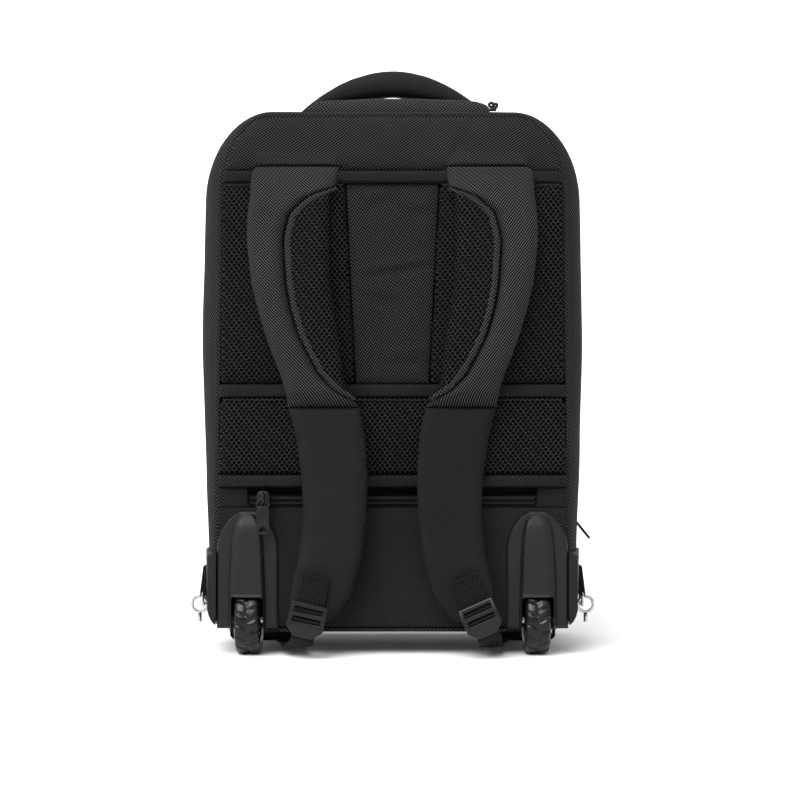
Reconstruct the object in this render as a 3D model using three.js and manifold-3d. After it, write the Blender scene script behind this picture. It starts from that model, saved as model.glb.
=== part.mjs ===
// A wheeled backpack, in millimetres, +Z up. The harness side faces -Y and the bag stands on the ground at
// z = 0. Inside the bag group y = 0 is the plane of the back seam, and the group is moved so that the whole
// part is centred over the origin.
import * as THREE from 'three';
import { mergeVertices } from 'three/addons/utils/BufferGeometryUtils.js';
import Module from 'manifold-3d';

const wasm = await Module();
wasm.setup();

// Bag body
const bodyWidth = 349;
const bodyTop = 493;
const groundClearance = 21;
const bodyDepth = 152;
const seamInset = 20;
const seamDrop = 6;
const wall = 4;
const rim = 3;
const gap = 0.3;
const topCornerWidth = 65;
const topCornerHeight = 84;
const bottomCornerRadius = 24;
const smallestCorner = 4;
const frontCrown = 24;

// Back panels, as heights above the ground and depths from the seam plane
const yokeBottom = 435.5;
const upperTapeWidth = 11;
const middleTapeTop = 243.5;
const middleTapeWidth = 11.5;
const lowerTapeTop = 162.2;
const lowerTapeWidth = 11;
const backZipHeight = 18;
const backZipHalfLength = 130;
const panelBack = 4;
const yokeProud = 6;
const padProud = 11;
const channelProud = 4;
const tapeProud = 9;
const lowerPanelProud = 2.5;
const channelTopWidth = 84;
const channelBottomWidth = 66;

// Shoulder straps
const strapTop = 438.5;
const strapDrop = 406;
const strapReach = 129.5;
const strapStandoff = 28;
const strapThickness = 12;
const meshSetBack = 1.6;

// Webbing and buckles
const webbingWidth = 25;
const webbingThickness = 1.6;
const lowerWebbingWidth = 21;
const lowerWebbingDrop = 12.2;
const tabAbove = 26;
const buckleWidth = 33;
const buckleHeight = 30;
const buckleThickness = 4;
const buckleSlotHeight = 5;
const buckleBar = 3.6;
const buckleReach = 72.5;
const buckleTop = 49.8;
const leftTabTilt = 13;
const rightTabTilt = 24;

// Wheels
const wheelRadius = 31;
const wheelWidth = 23;
const wheelFromEdge = 44.5;
const wheelProud = 20;
const hubRadius = 20;
const axleRadius = 4;
const wheelSideGap = 2.8;
const wheelWellGap = 3;
const housingWall = 2.7;
const housingWidth = 56;
const housingTopGap = 2.7;
const archRise = 37.7;
const housingProud = 6;
const tunnelProud = 14;
const tunnelTop = 126;
const tunnelTopWidth = 10;
const guardTop = 93;
const guardThickness = 2.6;
const guardProud = 7;
const guardDepth = 52;

// Feet
const footLength = 46;
const footWidth = 24;
const footFromEdge = 62.5;
const footFromFront = 30;

// Grab handle
const handleSpan = 184;
const handleRise = 43.6;
const handleDepth = 26;
const handleThickness = 23;
const handleFromSeam = 70;
const anchorLength = 26;
const anchorThickness = 2.6;

// Cover over the trolley handle
const coverLeft = 76;
const coverRight = 88;
const coverFront = 9;
const coverDepth = 40;
const coverHeight = 11;

// Zips and pulls
const zipTapeWidth = 10;
const zipGrooveDepth = 1.5;
const zipProud = 0.7;
const mainZipFromSeam = 93;
const mainZipEnd = 104;
const pullLength = 37.5;
const sidePullLength = 20;
const pullLean = 16;
const sidePullLean = 38;
const pullWidth = 10;
const pullThickness = 1.6;
const sliderHalf = 6;

// Side hardware
const loopHeight = 28;
const loopWidth = 20;
const loopThickness = 6;
const loopBottom = 48.5;
const loopFromSeam = 46;
const ringWire = 1.4;
const ringHeight = 11;
const hookRadius = 7.2;
const hookWire = 1.4;
const hookShank = 9;

const materials = {
  cloth: new THREE.MeshStandardMaterial({ color: 0x2b2c2f, roughness: 0.9, metalness: 0 }),
  mesh: new THREE.MeshStandardMaterial({ color: 0x1e1f21, roughness: 0.95, metalness: 0 }),
  tape: new THREE.MeshStandardMaterial({ color: 0x27282a, roughness: 0.85, metalness: 0 }),
  webbing: new THREE.MeshStandardMaterial({ color: 0x1c1d1e, roughness: 0.8, metalness: 0 }),
  plastic: new THREE.MeshStandardMaterial({ color: 0x3a3b3d, roughness: 0.55, metalness: 0 }),
  buckle: new THREE.MeshStandardMaterial({ color: 0x2c2d2f, roughness: 0.4, metalness: 0 }),
  rubber: new THREE.MeshStandardMaterial({ color: 0x141415, roughness: 0.6, metalness: 0 }),
  hub: new THREE.MeshStandardMaterial({ color: 0x4a4b4d, roughness: 0.45, metalness: 0 }),
  zip: new THREE.MeshStandardMaterial({ color: 0x191a1b, roughness: 0.5, metalness: 0.1 }),
  slider: new THREE.MeshStandardMaterial({ color: 0x2a2b2d, roughness: 0.3, metalness: 0.8 }),
  steel: new THREE.MeshStandardMaterial({ color: 0xb9babc, roughness: 0.25, metalness: 1 }),
};

// Outline of the bag. "wide" is the width of the side wall as a share of its widest line, and "seam" that of
// the back and front seams as a share of theirs, at a height given as a share of the body's height.
const sideRows = [
  { height: 0.0, wide: 0.957, seam: 1.02 },
  { height: 0.146, wide: 0.966, seam: 1.019 },
  { height: 0.294, wide: 0.983, seam: 1.014 },
  { height: 0.549, wide: 1.0, seam: 1.003 },
  { height: 0.803, wide: 0.988, seam: 0.996 },
  { height: 1.0, wide: 0.976, seam: 0.992 },
];

// Sections of the side wall from the back seam to the front one: depth as a share of the body's depth, and
// how far the section has swelled from the seam line towards the widest line.
const wallSections = [
  { depth: 0.0, swell: 0.0 },
  { depth: 0.045, swell: 0.42 },
  { depth: 0.12, swell: 0.8 },
  { depth: 0.25, swell: 1.0 },
  { depth: 0.74, swell: 1.0 },
  { depth: 0.87, swell: 0.85 },
  { depth: 0.955, swell: 0.48 },
  { depth: 1.0, swell: 0.0 },
];

const bodyHeight = bodyTop - groundClearance;
const seamHalf = bodyWidth / 2 - seamInset;
const topCornerX = bodyWidth / 2 - topCornerWidth;
const topCornerZ = bodyTop - topCornerHeight;
const upperTapeBottom = yokeBottom - upperTapeWidth;
const middleTapeBottom = middleTapeTop - middleTapeWidth;
const lowerTapeBottom = lowerTapeTop - lowerTapeWidth;
const backZipBottom = lowerTapeBottom - backZipHeight;
const housingTop = backZipBottom - housingTopGap;
const wheelReach = bodyWidth / 2 - wheelFromEdge;
const footReach = bodyWidth / 2 - footFromEdge;
const wheelDepth = wheelRadius - wheelProud;
const wellHalf = wheelWidth / 2 + wheelSideGap;
const wellRadius = wheelRadius + wheelWellGap;
const archSpring = housingTop - archRise;

// Where a curve's control points lie to draw a quarter of an ellipse, as a share of its half axes
const ellipsePull = 0.552;

// How finely the rounded outlines are divided
const cornerSteps = 7;
const bottomSteps = 4;
const sideSteps = 5;
const hookSteps = 12;
const wireSides = 6;
const wheelSides = 32;

const mix = (a, b, t) => a + (b - a) * t;

function lookUp(rows, key, column, at) {
  let i = 0;
  while (i < rows.length - 2 && rows[i + 1][key] < at) {
    i += 1;
  }
  const low = rows[i];
  const high = rows[i + 1];
  const t = THREE.MathUtils.clamp((at - low[key]) / (high[key] - low[key]), 0, 1);
  return mix(low[column], high[column], t);
}

function facingOut(geometry) {
  const p = geometry.attributes.position;
  const index = geometry.index.array;
  const a = new THREE.Vector3();
  const b = new THREE.Vector3();
  const c = new THREE.Vector3();
  let volume = 0;
  for (let i = 0; i < index.length; i += 3) {
    a.fromBufferAttribute(p, index[i]);
    b.fromBufferAttribute(p, index[i + 1]);
    c.fromBufferAttribute(p, index[i + 2]);
    volume += a.dot(b.cross(c));
  }
  if (volume < 0) {
    for (let i = 0; i < index.length; i += 3) {
      const first = index[i];
      index[i] = index[i + 2];
      index[i + 2] = first;
    }
  }
  return geometry;
}

function fromFaces(points, faces) {
  const geometry = new THREE.BufferGeometry();
  geometry.setAttribute('position', new THREE.Float32BufferAttribute(points.flat(), 3));
  geometry.setIndex(faces.flat());
  return facingOut(geometry);
}

// The two triangles of each cell between two closed rings of equally many points.
function band(first, second, count) {
  const faces = [];
  for (let i = 0; i < count; i += 1) {
    const j = (i + 1) % count;
    faces.push([first + i, first + j, second + j], [first + i, second + j, second + i]);
  }
  return faces;
}

// A ring's normal, as long as twice its area.
function ringNormal(ring) {
  const total = new THREE.Vector3();
  for (let i = 0; i < ring.length; i += 1) {
    const a = new THREE.Vector3(...ring[i]);
    const b = new THREE.Vector3(...ring[(i + 1) % ring.length]);
    total.add(a.cross(b));
  }
  return total;
}

// Triangles over a flat ring, facing along its normal or, with way -1, against it.
function cap(ring, start, way) {
  const normal = ringNormal(ring);
  const sizes = normal.toArray().map(Math.abs);
  const dropped = sizes.indexOf(Math.max(...sizes));
  const flat = ring.map((p) => new THREE.Vector2(p[(dropped + 1) % 3], p[(dropped + 2) % 3]));
  return THREE.ShapeUtils.triangulateShape(flat, []).map(([i, j, k]) => {
    const [a, b, c] = [i, j, k].map((n) => new THREE.Vector3(...ring[n]));
    const facing = b.sub(a).cross(c.sub(a)).dot(normal) * way;
    return facing > 0 ? [start + i, start + j, start + k] : [start + k, start + j, start + i];
  });
}

// A closed solid through a row of flat rings.
function loft(rings) {
  const count = rings[0].length;
  const last = rings.length - 1;
  const faces = [...cap(rings[0], 0, -1), ...cap(rings[last], last * count, 1)];
  for (let i = 0; i < last; i += 1) {
    faces.push(...band(i * count, (i + 1) * count, count));
  }
  return fromFaces(rings.flat(), faces);
}

// A wall between outer and inner rings, open at both ends.
function sleeve(outer, inner) {
  const count = outer[0].length;
  const faces = [];
  const innerStart = outer.length * count;
  for (let i = 0; i < outer.length - 1; i += 1) {
    faces.push(...band(i * count, (i + 1) * count, count));
    faces.push(...band(innerStart + (i + 1) * count, innerStart + i * count, count));
  }
  const last = outer.length - 1;
  faces.push(...band(innerStart, 0, count));
  faces.push(...band(last * count, innerStart + last * count, count));
  return fromFaces([...outer.flat(), ...inner.flat()], faces);
}

function toSolid(geometry) {
  const bare = geometry.clone();
  bare.deleteAttribute('normal');
  bare.deleteAttribute('uv');
  const merged = mergeVertices(bare, 1e-4);
  return new wasm.Manifold(
    new wasm.Mesh({
      numProp: 3,
      vertProperties: new Float32Array(merged.attributes.position.array),
      triVerts: new Uint32Array(merged.index.array),
    }),
  );
}

function toGeometry(solid) {
  const made = solid.getMesh();
  const geometry = new THREE.BufferGeometry();
  geometry.setAttribute('position', new THREE.BufferAttribute(new Float32Array(made.vertProperties), 3));
  geometry.setIndex([...made.triVerts]);
  return geometry;
}

function joined(...geometries) {
  return toGeometry(geometries.map(toSolid).reduce((a, b) => a.add(b)));
}

function cut(geometry, ...cutters) {
  return toGeometry(cutters.map(toSolid).reduce((a, b) => a.subtract(b), toSolid(geometry)));
}

function common(first, second) {
  return toGeometry(toSolid(first).intersect(toSolid(second)));
}

function block(low, high) {
  const size = high.map((value, i) => value - low[i]);
  const geometry = new THREE.BoxGeometry(...size);
  geometry.translate((low[0] + high[0]) / 2, (low[1] + high[1]) / 2, (low[2] + high[2]) / 2);
  return geometry;
}

// A round bar or disc along X, with a corner pointing straight down.
function barAlongX(radius, length, sides) {
  const geometry = new THREE.CylinderGeometry(radius, radius, length, sides);
  geometry.rotateZ(Math.PI / 2);
  geometry.rotateX(Math.PI / 2);
  return geometry;
}

// An outline drawn in X and Z, made solid from one depth to another.
function plate(shape, from, to, curveSegments = 6) {
  const { shape: outline, holes } = shape.extractPoints(curveSegments);
  const turned = (points, clockwise) =>
    THREE.ShapeUtils.isClockWise(points) === clockwise ? points : [...points].reverse();
  const even = new THREE.Shape(turned(outline, false));
  even.holes = holes.map((points) => new THREE.Path(turned(points, true)));
  const settings = { depth: to - from, bevelEnabled: false, curveSegments: 1 };
  const geometry = new THREE.ExtrudeGeometry(even, settings);
  geometry.rotateX(Math.PI / 2);
  geometry.translate(0, to, 0);
  return geometry;
}

function addPiece(parent, name, geometry, material) {
  const mesh = new THREE.Mesh(geometry, materials[material]);
  mesh.name = name;
  parent.add(mesh);
  return mesh;
}

// Half the bag's width at a height, for a swell from 0 at the seams to 1 at the widest line.
function halfWidth(z, swell) {
  const height = (z - groundClearance) / bodyHeight;
  const wide = (bodyWidth / 2) * lookUp(sideRows, 'height', 'wide', height);
  const seam = seamHalf * lookUp(sideRows, 'height', 'seam', height) + rim;
  return mix(seam, wide, swell);
}

// The bag's outline at a depth, as a ring: swelled out by "swell" and brought in by "inset".
function bodyRing(y, swell, inset) {
  const top = bodyTop - seamDrop * (1 - swell) - inset;
  const bottom = groundClearance + inset;
  const radius = Math.max(bottomCornerRadius - inset, smallestCorner);
  const half = [];
  const edge = (z) => halfWidth(z, swell) - inset;
  half.push([0, bottom]);
  for (let i = 0; i <= bottomSteps; i += 1) {
    const turn = (i / bottomSteps) * (Math.PI / 2);
    const centreX = edge(bottom + radius) - radius;
    half.push([centreX + radius * Math.sin(turn), bottom + radius * (1 - Math.cos(turn))]);
  }
  for (let i = 1; i < sideSteps; i += 1) {
    const z = mix(bottom + radius, topCornerZ, i / sideSteps);
    half.push([edge(z), z]);
  }
  const reach = edge(topCornerZ) - topCornerX;
  for (let i = 0; i <= cornerSteps; i += 1) {
    const turn = (i / cornerSteps) * (Math.PI / 2);
    half.push([topCornerX + reach * Math.cos(turn), topCornerZ + (top - topCornerZ) * Math.sin(turn)]);
  }
  half.push([0, top]);
  const other = half.slice(1, -1).reverse();
  return [...half.map(([x, z]) => [x, y, z]), ...other.map(([x, z]) => [-x, y, z])];
}

function wallRings(inset, rimInset) {
  return wallSections.map(({ depth, swell }, i) => {
    const atEnd = i === 0 || i === wallSections.length - 1;
    return bodyRing(depth * bodyDepth, swell, atEnd ? rimInset : inset);
  });
}

// The whole volume inside the side wall's outer face, grown outwards.
function bodySolid(grow) {
  return loft(wallRings(-grow, -grow));
}

function swellAt(y) {
  return lookUp(wallSections, 'depth', 'swell', y / bodyDepth);
}

// Height of the top wall's outer face at a depth.
function topAt(y) {
  return bodyTop - seamDrop * (1 - swellAt(y));
}

// Height of the side wall's underside at a place across, where the wall is at its widest.
function undersideAt(x) {
  const ring = bodyRing(0, 1, 0);
  const next = ring.findIndex(([at]) => at >= x);
  const [near, far] = [ring[next - 1], ring[next]];
  return mix(near[2], far[2], (x - near[0]) / (far[0] - near[0]));
}

// Half the width of the panels that lie inside the back and front seams, at a height.
const panelLow = groundClearance + Math.max(wall, rim) + gap;
const panelHigh = bodyTop - seamDrop - rim - gap;
const panelOutline = bodyRing(0, 0, rim + gap).filter(([x]) => x > 0);

function panelHalf(z) {
  const at = THREE.MathUtils.clamp(z, panelOutline[0][2], panelOutline[panelOutline.length - 1][2]);
  for (let i = 0; i < panelOutline.length - 1; i += 1) {
    const [lowX, , lowZ] = panelOutline[i];
    const [highX, , highZ] = panelOutline[i + 1];
    if (at <= highZ && highZ > lowZ) {
      return mix(lowX, highX, (at - lowZ) / (highZ - lowZ));
    }
  }
  return topCornerX;
}

// Where a panel's columns and rows lie, as shares of its width and height: close together by its edges.
const quiltShares = [0, 0.03, 0.1, 0.28, 0.5, 0.72, 0.9, 0.97, 1];

// A sewn panel: flat inside, and outside a face whose depth is worked out from place and height.
function quilt(left, right, low, high, inside, face, across = quiltShares, up = quiltShares) {
  const points = [];
  const columns = across.length;
  for (const rowShare of up) {
    const z = mix(low, high, rowShare);
    for (const share of across) {
      const x = mix(left(z), right(z), share);
      points.push([x, face(share, rowShare, x, z), z]);
    }
  }
  const faces = [];
  for (let r = 0; r < up.length - 1; r += 1) {
    for (let c = 0; c < columns - 1; c += 1) {
      const a = r * columns + c;
      faces.push([a, a + 1, a + columns + 1], [a, a + columns + 1, a + columns]);
    }
  }
  const border = [];
  for (let c = 0; c < columns; c += 1) {
    border.push(c);
  }
  for (let r = 1; r < up.length; r += 1) {
    border.push(r * columns + columns - 1);
  }
  for (let c = columns - 2; c >= 0; c -= 1) {
    border.push((up.length - 1) * columns + c);
  }
  for (let r = up.length - 2; r > 0; r -= 1) {
    border.push(r * columns);
  }
  const backStart = points.length;
  for (const i of border) {
    points.push([points[i][0], inside, points[i][2]]);
  }
  const count = border.length;
  for (let i = 0; i < count; i += 1) {
    const j = (i + 1) % count;
    faces.push([border[i], backStart + i, backStart + j], [border[i], backStart + j, border[j]]);
  }
  const outline = border.map((i) => new THREE.Vector2(points[i][0], points[i][2]));
  for (const [a, b, c] of THREE.ShapeUtils.triangulateShape(outline, [])) {
    faces.push([backStart + c, backStart + b, backStart + a]);
  }
  return fromFaces(points, faces);
}

// A crown that is low at a panel's sewn edges and full over the rest.
function crown(u, v, power = 5) {
  return (1 - Math.abs(2 * u - 1) ** power) * (1 - Math.abs(2 * v - 1) ** power);
}

// Dents of a panel: place as shares of its width and height, reach as shares of both, depth in shares of its
// crown, and the tilt of the dent's long line.
function dentDepth(dents, u, v) {
  let depth = 0;
  for (const dent of dents) {
    const turn = THREE.MathUtils.degToRad(dent.tilt);
    const across = (u - dent.across) * Math.cos(turn) + (v - dent.up) * Math.sin(turn);
    const along = (v - dent.up) * Math.cos(turn) - (u - dent.across) * Math.sin(turn);
    depth += dent.depth * Math.exp(-((across / dent.wide) ** 2) - (along / dent.tall) ** 2);
  }
  return depth;
}

const yokeDents = [
  { across: 0.34, up: 0.22, wide: 0.035, tall: 0.3, depth: 0.3, tilt: 12 },
  { across: 0.66, up: 0.22, wide: 0.035, tall: 0.3, depth: 0.3, tilt: -12 },
];

const channelDents = [
  { across: 0.3, up: 0.86, wide: 0.22, tall: 0.09, depth: 0.5, tilt: 14 },
  { across: 0.8, up: 0.82, wide: 0.2, tall: 0.06, depth: 0.45, tilt: -12 },
  { across: 0.58, up: 0.56, wide: 0.4, tall: 0.04, depth: 0.6, tilt: -8 },
  { across: 0.3, up: 0.38, wide: 0.2, tall: 0.05, depth: 0.4, tilt: 10 },
];

// Back wall
function addBackPanels(bag) {
  const left = (z) => -panelHalf(z);
  const right = (z) => panelHalf(z);
  const channelEdge = (z) => {
    const share = (z - middleTapeTop) / (upperTapeBottom - middleTapeTop);
    return mix(channelBottomWidth, channelTopWidth, share) / 2;
  };
  const yokeFace = (u, v) => -yokeProud * (0.45 + 0.55 * crown(u, v, 4) - dentDepth(yokeDents, u, v));
  addPiece(bag, 'yoke_panel', quilt(left, right, yokeBottom, panelHigh, panelBack, yokeFace), 'cloth');

  const padFace = (u, v) => -padProud * (0.5 + 0.5 * crown(u, v));
  const padLow = middleTapeTop + gap;
  const padHigh = upperTapeBottom - gap;
  const padInner = (z) => channelEdge(z) + gap / 2;
  const leftPad = quilt(left, (z) => -padInner(z), padLow, padHigh, panelBack, padFace);
  const rightPad = quilt(padInner, right, padLow, padHigh, panelBack, padFace);
  addPiece(bag, 'mesh_pad_upper_left', leftPad, 'mesh');
  addPiece(bag, 'mesh_pad_upper_right', rightPad, 'mesh');

  const channelFace = (u, v) => -channelProud * (0.5 + 0.5 * crown(u, v) - dentDepth(channelDents, u, v));
  const channelSide = (z) => channelEdge(z) - gap / 2;
  const channel = quilt((z) => -channelSide(z), channelSide, padLow, padHigh, panelBack, channelFace);
  addPiece(bag, 'centre_channel', channel, 'cloth');

  const lowerPad = quilt(left, right, lowerTapeTop + gap, middleTapeBottom - gap, panelBack, padFace);
  addPiece(bag, 'mesh_pad_lower', lowerPad, 'mesh');

  const tapes = [
    { name: 'tape_upper', low: upperTapeBottom, high: yokeBottom - gap },
    { name: 'tape_middle', low: middleTapeBottom, high: middleTapeTop },
    { name: 'tape_lower', low: lowerTapeBottom + gap, high: lowerTapeTop },
  ];
  const tapeAcross = [0, 0.02, 0.25, 0.5, 0.75, 0.98, 1];
  const tapeUp = [0, 0.2, 0.8, 1];
  const tapeFace = (u, v) => -tapeProud * (0.8 + 0.2 * crown(u, v));
  for (const { name, low, high } of tapes) {
    addPiece(bag, name, quilt(left, right, low, high, panelBack, tapeFace, tapeAcross, tapeUp), 'tape');
  }

  const panelTop = backZipBottom - gap;
  const panelFace = (u, v) => -lowerPanelProud * (0.3 + 0.7 * crown(u, v, 4));
  const panel = quilt(left, right, panelLow, panelTop, panelBack, panelFace);
  const cutters = [-1, 1].flatMap((side) => [housingBody(side, gap), besideHousing(side)]);
  addPiece(bag, 'lower_panel', cut(panel, ...cutters), 'cloth');
}

// Back zip
function addBackZip(bag) {
  const low = backZipBottom;
  const high = lowerTapeBottom;
  const middle = (low + high) / 2;
  const chainHalf = zipTapeWidth * 0.2;
  const end = backZipHalfLength - gap / 2;
  const tape = block([-end, gap * 2, low], [end, panelBack, high]);
  const chain = block([-end, -zipProud, middle - chainHalf], [end, panelBack / 2, middle + chainHalf]);
  addPiece(bag, 'back_zip', joined(tape, chain), 'zip');
  const tabFace = () => -lowerPanelProud;
  for (const side of [-1, 1]) {
    const outer = (z) => side * panelHalf(z);
    const inner = () => side * (backZipHalfLength + gap / 2);
    const edges = side < 0 ? [outer, inner] : [inner, outer];
    const tab = quilt(...edges, low, high, panelBack, tabFace, [0, 0.5, 1], [0, 1]);
    addPiece(bag, side < 0 ? 'zip_tab_left' : 'zip_tab_right', tab, 'cloth');
  }
  const sliderX = pullWidth * 1.45 - backZipHalfLength;
  const slider = addPiece(bag, 'back_zip_slider', slideWithPull(pullLength, pullLean), 'slider');
  slider.position.set(sliderX, -zipProud - gap, middle);
}

// A zip slider whose back lies at y = 0, with a pull that hangs down in front of it and leans out.
function slideWithPull(length, lean) {
  const bodyDeep = pullThickness * 2;
  const body = new THREE.Shape();
  body.moveTo(-sliderHalf, -sliderHalf);
  body.lineTo(sliderHalf, -sliderHalf);
  body.lineTo(sliderHalf * 0.8, sliderHalf);
  body.lineTo(-sliderHalf * 0.8, sliderHalf);
  const half = pullWidth / 2;
  const pull = new THREE.Shape();
  pull.moveTo(-half * 0.75, 0);
  pull.lineTo(-half, -length);
  pull.lineTo(half, -length);
  pull.lineTo(half * 0.75, 0);
  const hole = new THREE.Path();
  hole.absarc(0, half * 0.9 - length, half * 0.5, 0, Math.PI, false);
  pull.holes.push(hole);
  const tab = plate(pull, -pullThickness, 0, 5);
  tab.rotateX(THREE.MathUtils.degToRad(-lean));
  tab.translate(0, pullThickness * 0.25 - bodyDeep, sliderHalf * 0.6);
  return joined(plate(body, -bodyDeep, 0, 3), tab);
}

// Side wall, with the groove that the main zip lies in
function zipBand(outward, inward, extra) {
  const rows = [mainZipFromSeam - zipTapeWidth / 2 - extra, mainZipFromSeam + zipTapeWidth / 2 + extra];
  const outer = rows.map((y) => bodyRing(y, 1, -outward));
  const inner = rows.map((y) => bodyRing(y, 1, inward));
  const reach = bodyWidth;
  const above = block([-reach, 0, mainZipEnd - extra], [reach, bodyDepth, bodyTop + reach]);
  return common(sleeve(outer, inner), above);
}

function addSideWall(bag) {
  const shell = sleeve(wallRings(0, 0), wallRings(wall, rim));
  const cutters = [-1, 1].map((side) => housingBody(side, gap));
  const walls = cut(shell, zipBand(zipProud * 2, zipGrooveDepth, gap), ...cutters);
  addPiece(bag, 'gusset_shell', walls, 'cloth');
  addPiece(bag, 'main_zip', zipBand(zipProud, zipGrooveDepth - gap, 0), 'zip');
}

// The main zip's slider and pull, at the foot of the zip on the right, leaning out from the wall
function addMainPull(bag) {
  const pull = addPiece(bag, 'main_zip_pull', slideWithPull(sidePullLength, sidePullLean), 'slider');
  pull.rotation.z = Math.PI / 2;
  const z = mainZipEnd + sliderHalf;
  pull.position.set(halfWidth(z + sliderHalf, 1) + zipProud + gap, mainZipFromSeam, z);
}

function addFront(bag) {
  const left = (z) => -panelHalf(z);
  const right = (z) => panelHalf(z);
  const low = panelLow;
  const high = panelHigh;
  const face = (u, v) => bodyDepth + frontCrown * crown(u, v, 3.2);
  const outer = quilt(left, right, low, high, bodyDepth - wall, face);
  const inset = (edge, sign) => (z) => edge(z) + sign * wall;
  const hollowFace = (u, v) => bodyDepth - wall + frontCrown * crown(u, v, 3.2) * 0.94;
  const hollow = quilt(
    inset(left, 1),
    inset(right, -1),
    low + wall,
    high - wall,
    bodyDepth - wall * 2,
    hollowFace,
  );
  addPiece(bag, 'front_panel', cut(outer, hollow), 'cloth');
}

// Wheel housings
function archShape(side, grow) {
  const outer = side * (housingWidth / 2 + grow);
  const low = groundClearance + rim - grow;
  const top = housingTop + grow;
  const pull = archSpring + archRise * ellipsePull;
  const shape = new THREE.Shape();
  shape.moveTo(-outer * 0.94, low);
  shape.lineTo(outer, low);
  shape.lineTo(outer, archSpring);
  shape.bezierCurveTo(outer, pull, outer * ellipsePull, top, 0, top);
  shape.bezierCurveTo(-outer * ellipsePull, top, -outer, pull, -outer, archSpring);
  shape.lineTo(-outer, mix(low, archSpring, 0.4));
  return shape;
}

function wellShell(grow) {
  const half = wellHalf + housingWall + grow;
  const radius = wellRadius + housingWall + grow;
  const round = barAlongX(radius, half * 2, 24);
  round.translate(0, wheelDepth, wheelRadius);
  const low = groundClearance - grow;
  const straight = block([-half, wheelDepth - radius * 0.75, low], [half, wheelDepth + radius, wheelRadius]);
  const whole = joined(round, straight);
  const keep = block([-half * 2, -housingProud, low], [half * 2, bodyDepth, bodyTop]);
  return common(whole, keep);
}

// The space outside a housing's middle that the corner guard takes up, below the spring of its arch.
function besideHousing(side) {
  const [near, far] = [side * wheelReach, side * bodyWidth].sort((a, b) => a - b);
  return block([near, -bodyDepth, 0], [far, bodyDepth, archSpring]);
}

// The solid outside of one housing, in the bag's own place, grown by a clearance.
function housingBody(side, grow) {
  const arch = plate(archShape(side, grow), -housingProud - grow, panelBack + grow, 6);
  const body = joined(arch, wellShell(grow));
  body.translate(side * wheelReach, 0, 0);
  return body;
}

// The raised tunnel over the wheel: height as a share from the wheel's centre to the tunnel's top, width
// from the well's width to the tunnel's top width, and how far it stands proud.
const tunnelRows = [
  { up: -0.09, narrow: 0, proud: 1 },
  { up: 0.3, narrow: 0, proud: 1 },
  { up: 0.5, narrow: 0.1, proud: 0.97 },
  { up: 0.76, narrow: 0.28, proud: 0.9 },
  { up: 0.88, narrow: 0.4, proud: 0.8 },
  { up: 0.95, narrow: 0.56, proud: 0.6 },
  { up: 1.0, narrow: 1.0, proud: 0.1 },
];

function tunnel() {
  const fullHalf = wellHalf + housingWall * 0.6;
  const rings = tunnelRows.map(({ up, narrow, proud }) => {
    const z = mix(wheelRadius, tunnelTop, up);
    const half = mix(fullHalf, tunnelTopWidth / 2, narrow);
    const out = housingProud + (tunnelProud - housingProud) * proud;
    const start = -housingProud * 0.8;
    return [
      [-half, start, z],
      [-half, -mix(housingProud, out, 0.6), z],
      [-half * 0.72, -out, z],
      [half * 0.72, -out, z],
      [half, -mix(housingProud, out, 0.6), z],
      [half, start, z],
    ];
  });
  return loft(rings);
}

function addWheelHousing(bag, side, name) {
  const centre = side * wheelReach;
  const ridge = tunnel();
  ridge.translate(centre, 0, 0);
  const cavityRound = barAlongX(wellRadius, wellHalf * 2, wheelSides);
  cavityRound.translate(centre, wheelDepth, wheelRadius);
  const cavityLow = block(
    [centre - wellHalf, -bodyDepth, -groundClearance],
    [centre + wellHalf, wheelDepth + wellRadius, wheelRadius],
  );
  const hole = barAlongX(axleRadius + gap * 1.1, housingWidth, 16);
  hole.translate(centre, wheelDepth, wheelRadius);
  const body = joined(housingBody(side, 0), ridge);
  addPiece(bag, `wheel_housing_${name}`, cut(body, cavityRound, cavityLow, hole), 'plastic');
}

function addWheel(bag, side, name) {
  const wheel = new THREE.Group();
  wheel.position.set(side * wheelReach, wheelDepth, wheelRadius);
  bag.add(wheel);
  const half = wheelWidth / 2;
  const shoulder = wheelRadius * 0.1;
  const tyreInner = hubRadius + gap;
  const tyreProfile = [
    [tyreInner, -half * 0.86],
    [wheelRadius - shoulder * 1.8, -half],
    [wheelRadius - shoulder * 0.6, -half * 0.88],
    [wheelRadius, -half * 0.6],
    [wheelRadius, half * 0.6],
    [wheelRadius - shoulder * 0.6, half * 0.88],
    [wheelRadius - shoulder * 1.8, half],
    [tyreInner, half * 0.86],
    [tyreInner, -half * 0.86],
  ];
  const boreRadius = axleRadius + gap * 1.2;
  const hubProfile = [
    [boreRadius, -half * 0.95],
    [axleRadius * 2, -half * 0.95],
    [axleRadius * 2.4, -half * 0.6],
    [hubRadius * 0.8, -half * 0.6],
    [hubRadius, -half * 0.8],
    [hubRadius, half * 0.8],
    [hubRadius * 0.8, half * 0.6],
    [axleRadius * 2.4, half * 0.6],
    [axleRadius * 2, half * 0.95],
    [boreRadius, half * 0.95],
    [boreRadius, -half * 0.95],
  ];
  addPiece(wheel, `wheel_tyre_${name}`, turnedAlongX(tyreProfile, wheelSides), 'rubber');
  addPiece(wheel, `wheel_hub_${name}`, turnedAlongX(hubProfile, wheelSides), 'hub');
  const axleLength = 2 * (wellHalf + housingWall * 0.8);
  addPiece(wheel, `axle_${name}`, barAlongX(axleRadius, axleLength, 16), 'steel');
}

// A ring turned about X, from a closed profile of radius and place along the axle.
function turnedAlongX(profile, sides) {
  const geometry = new THREE.LatheGeometry(profile.map(([r, x]) => new THREE.Vector2(r, x)), sides);
  geometry.rotateZ(-Math.PI / 2);
  geometry.rotateX(Math.PI / 2);
  return facingOut(toGeometry(toSolid(geometry)));
}

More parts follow.
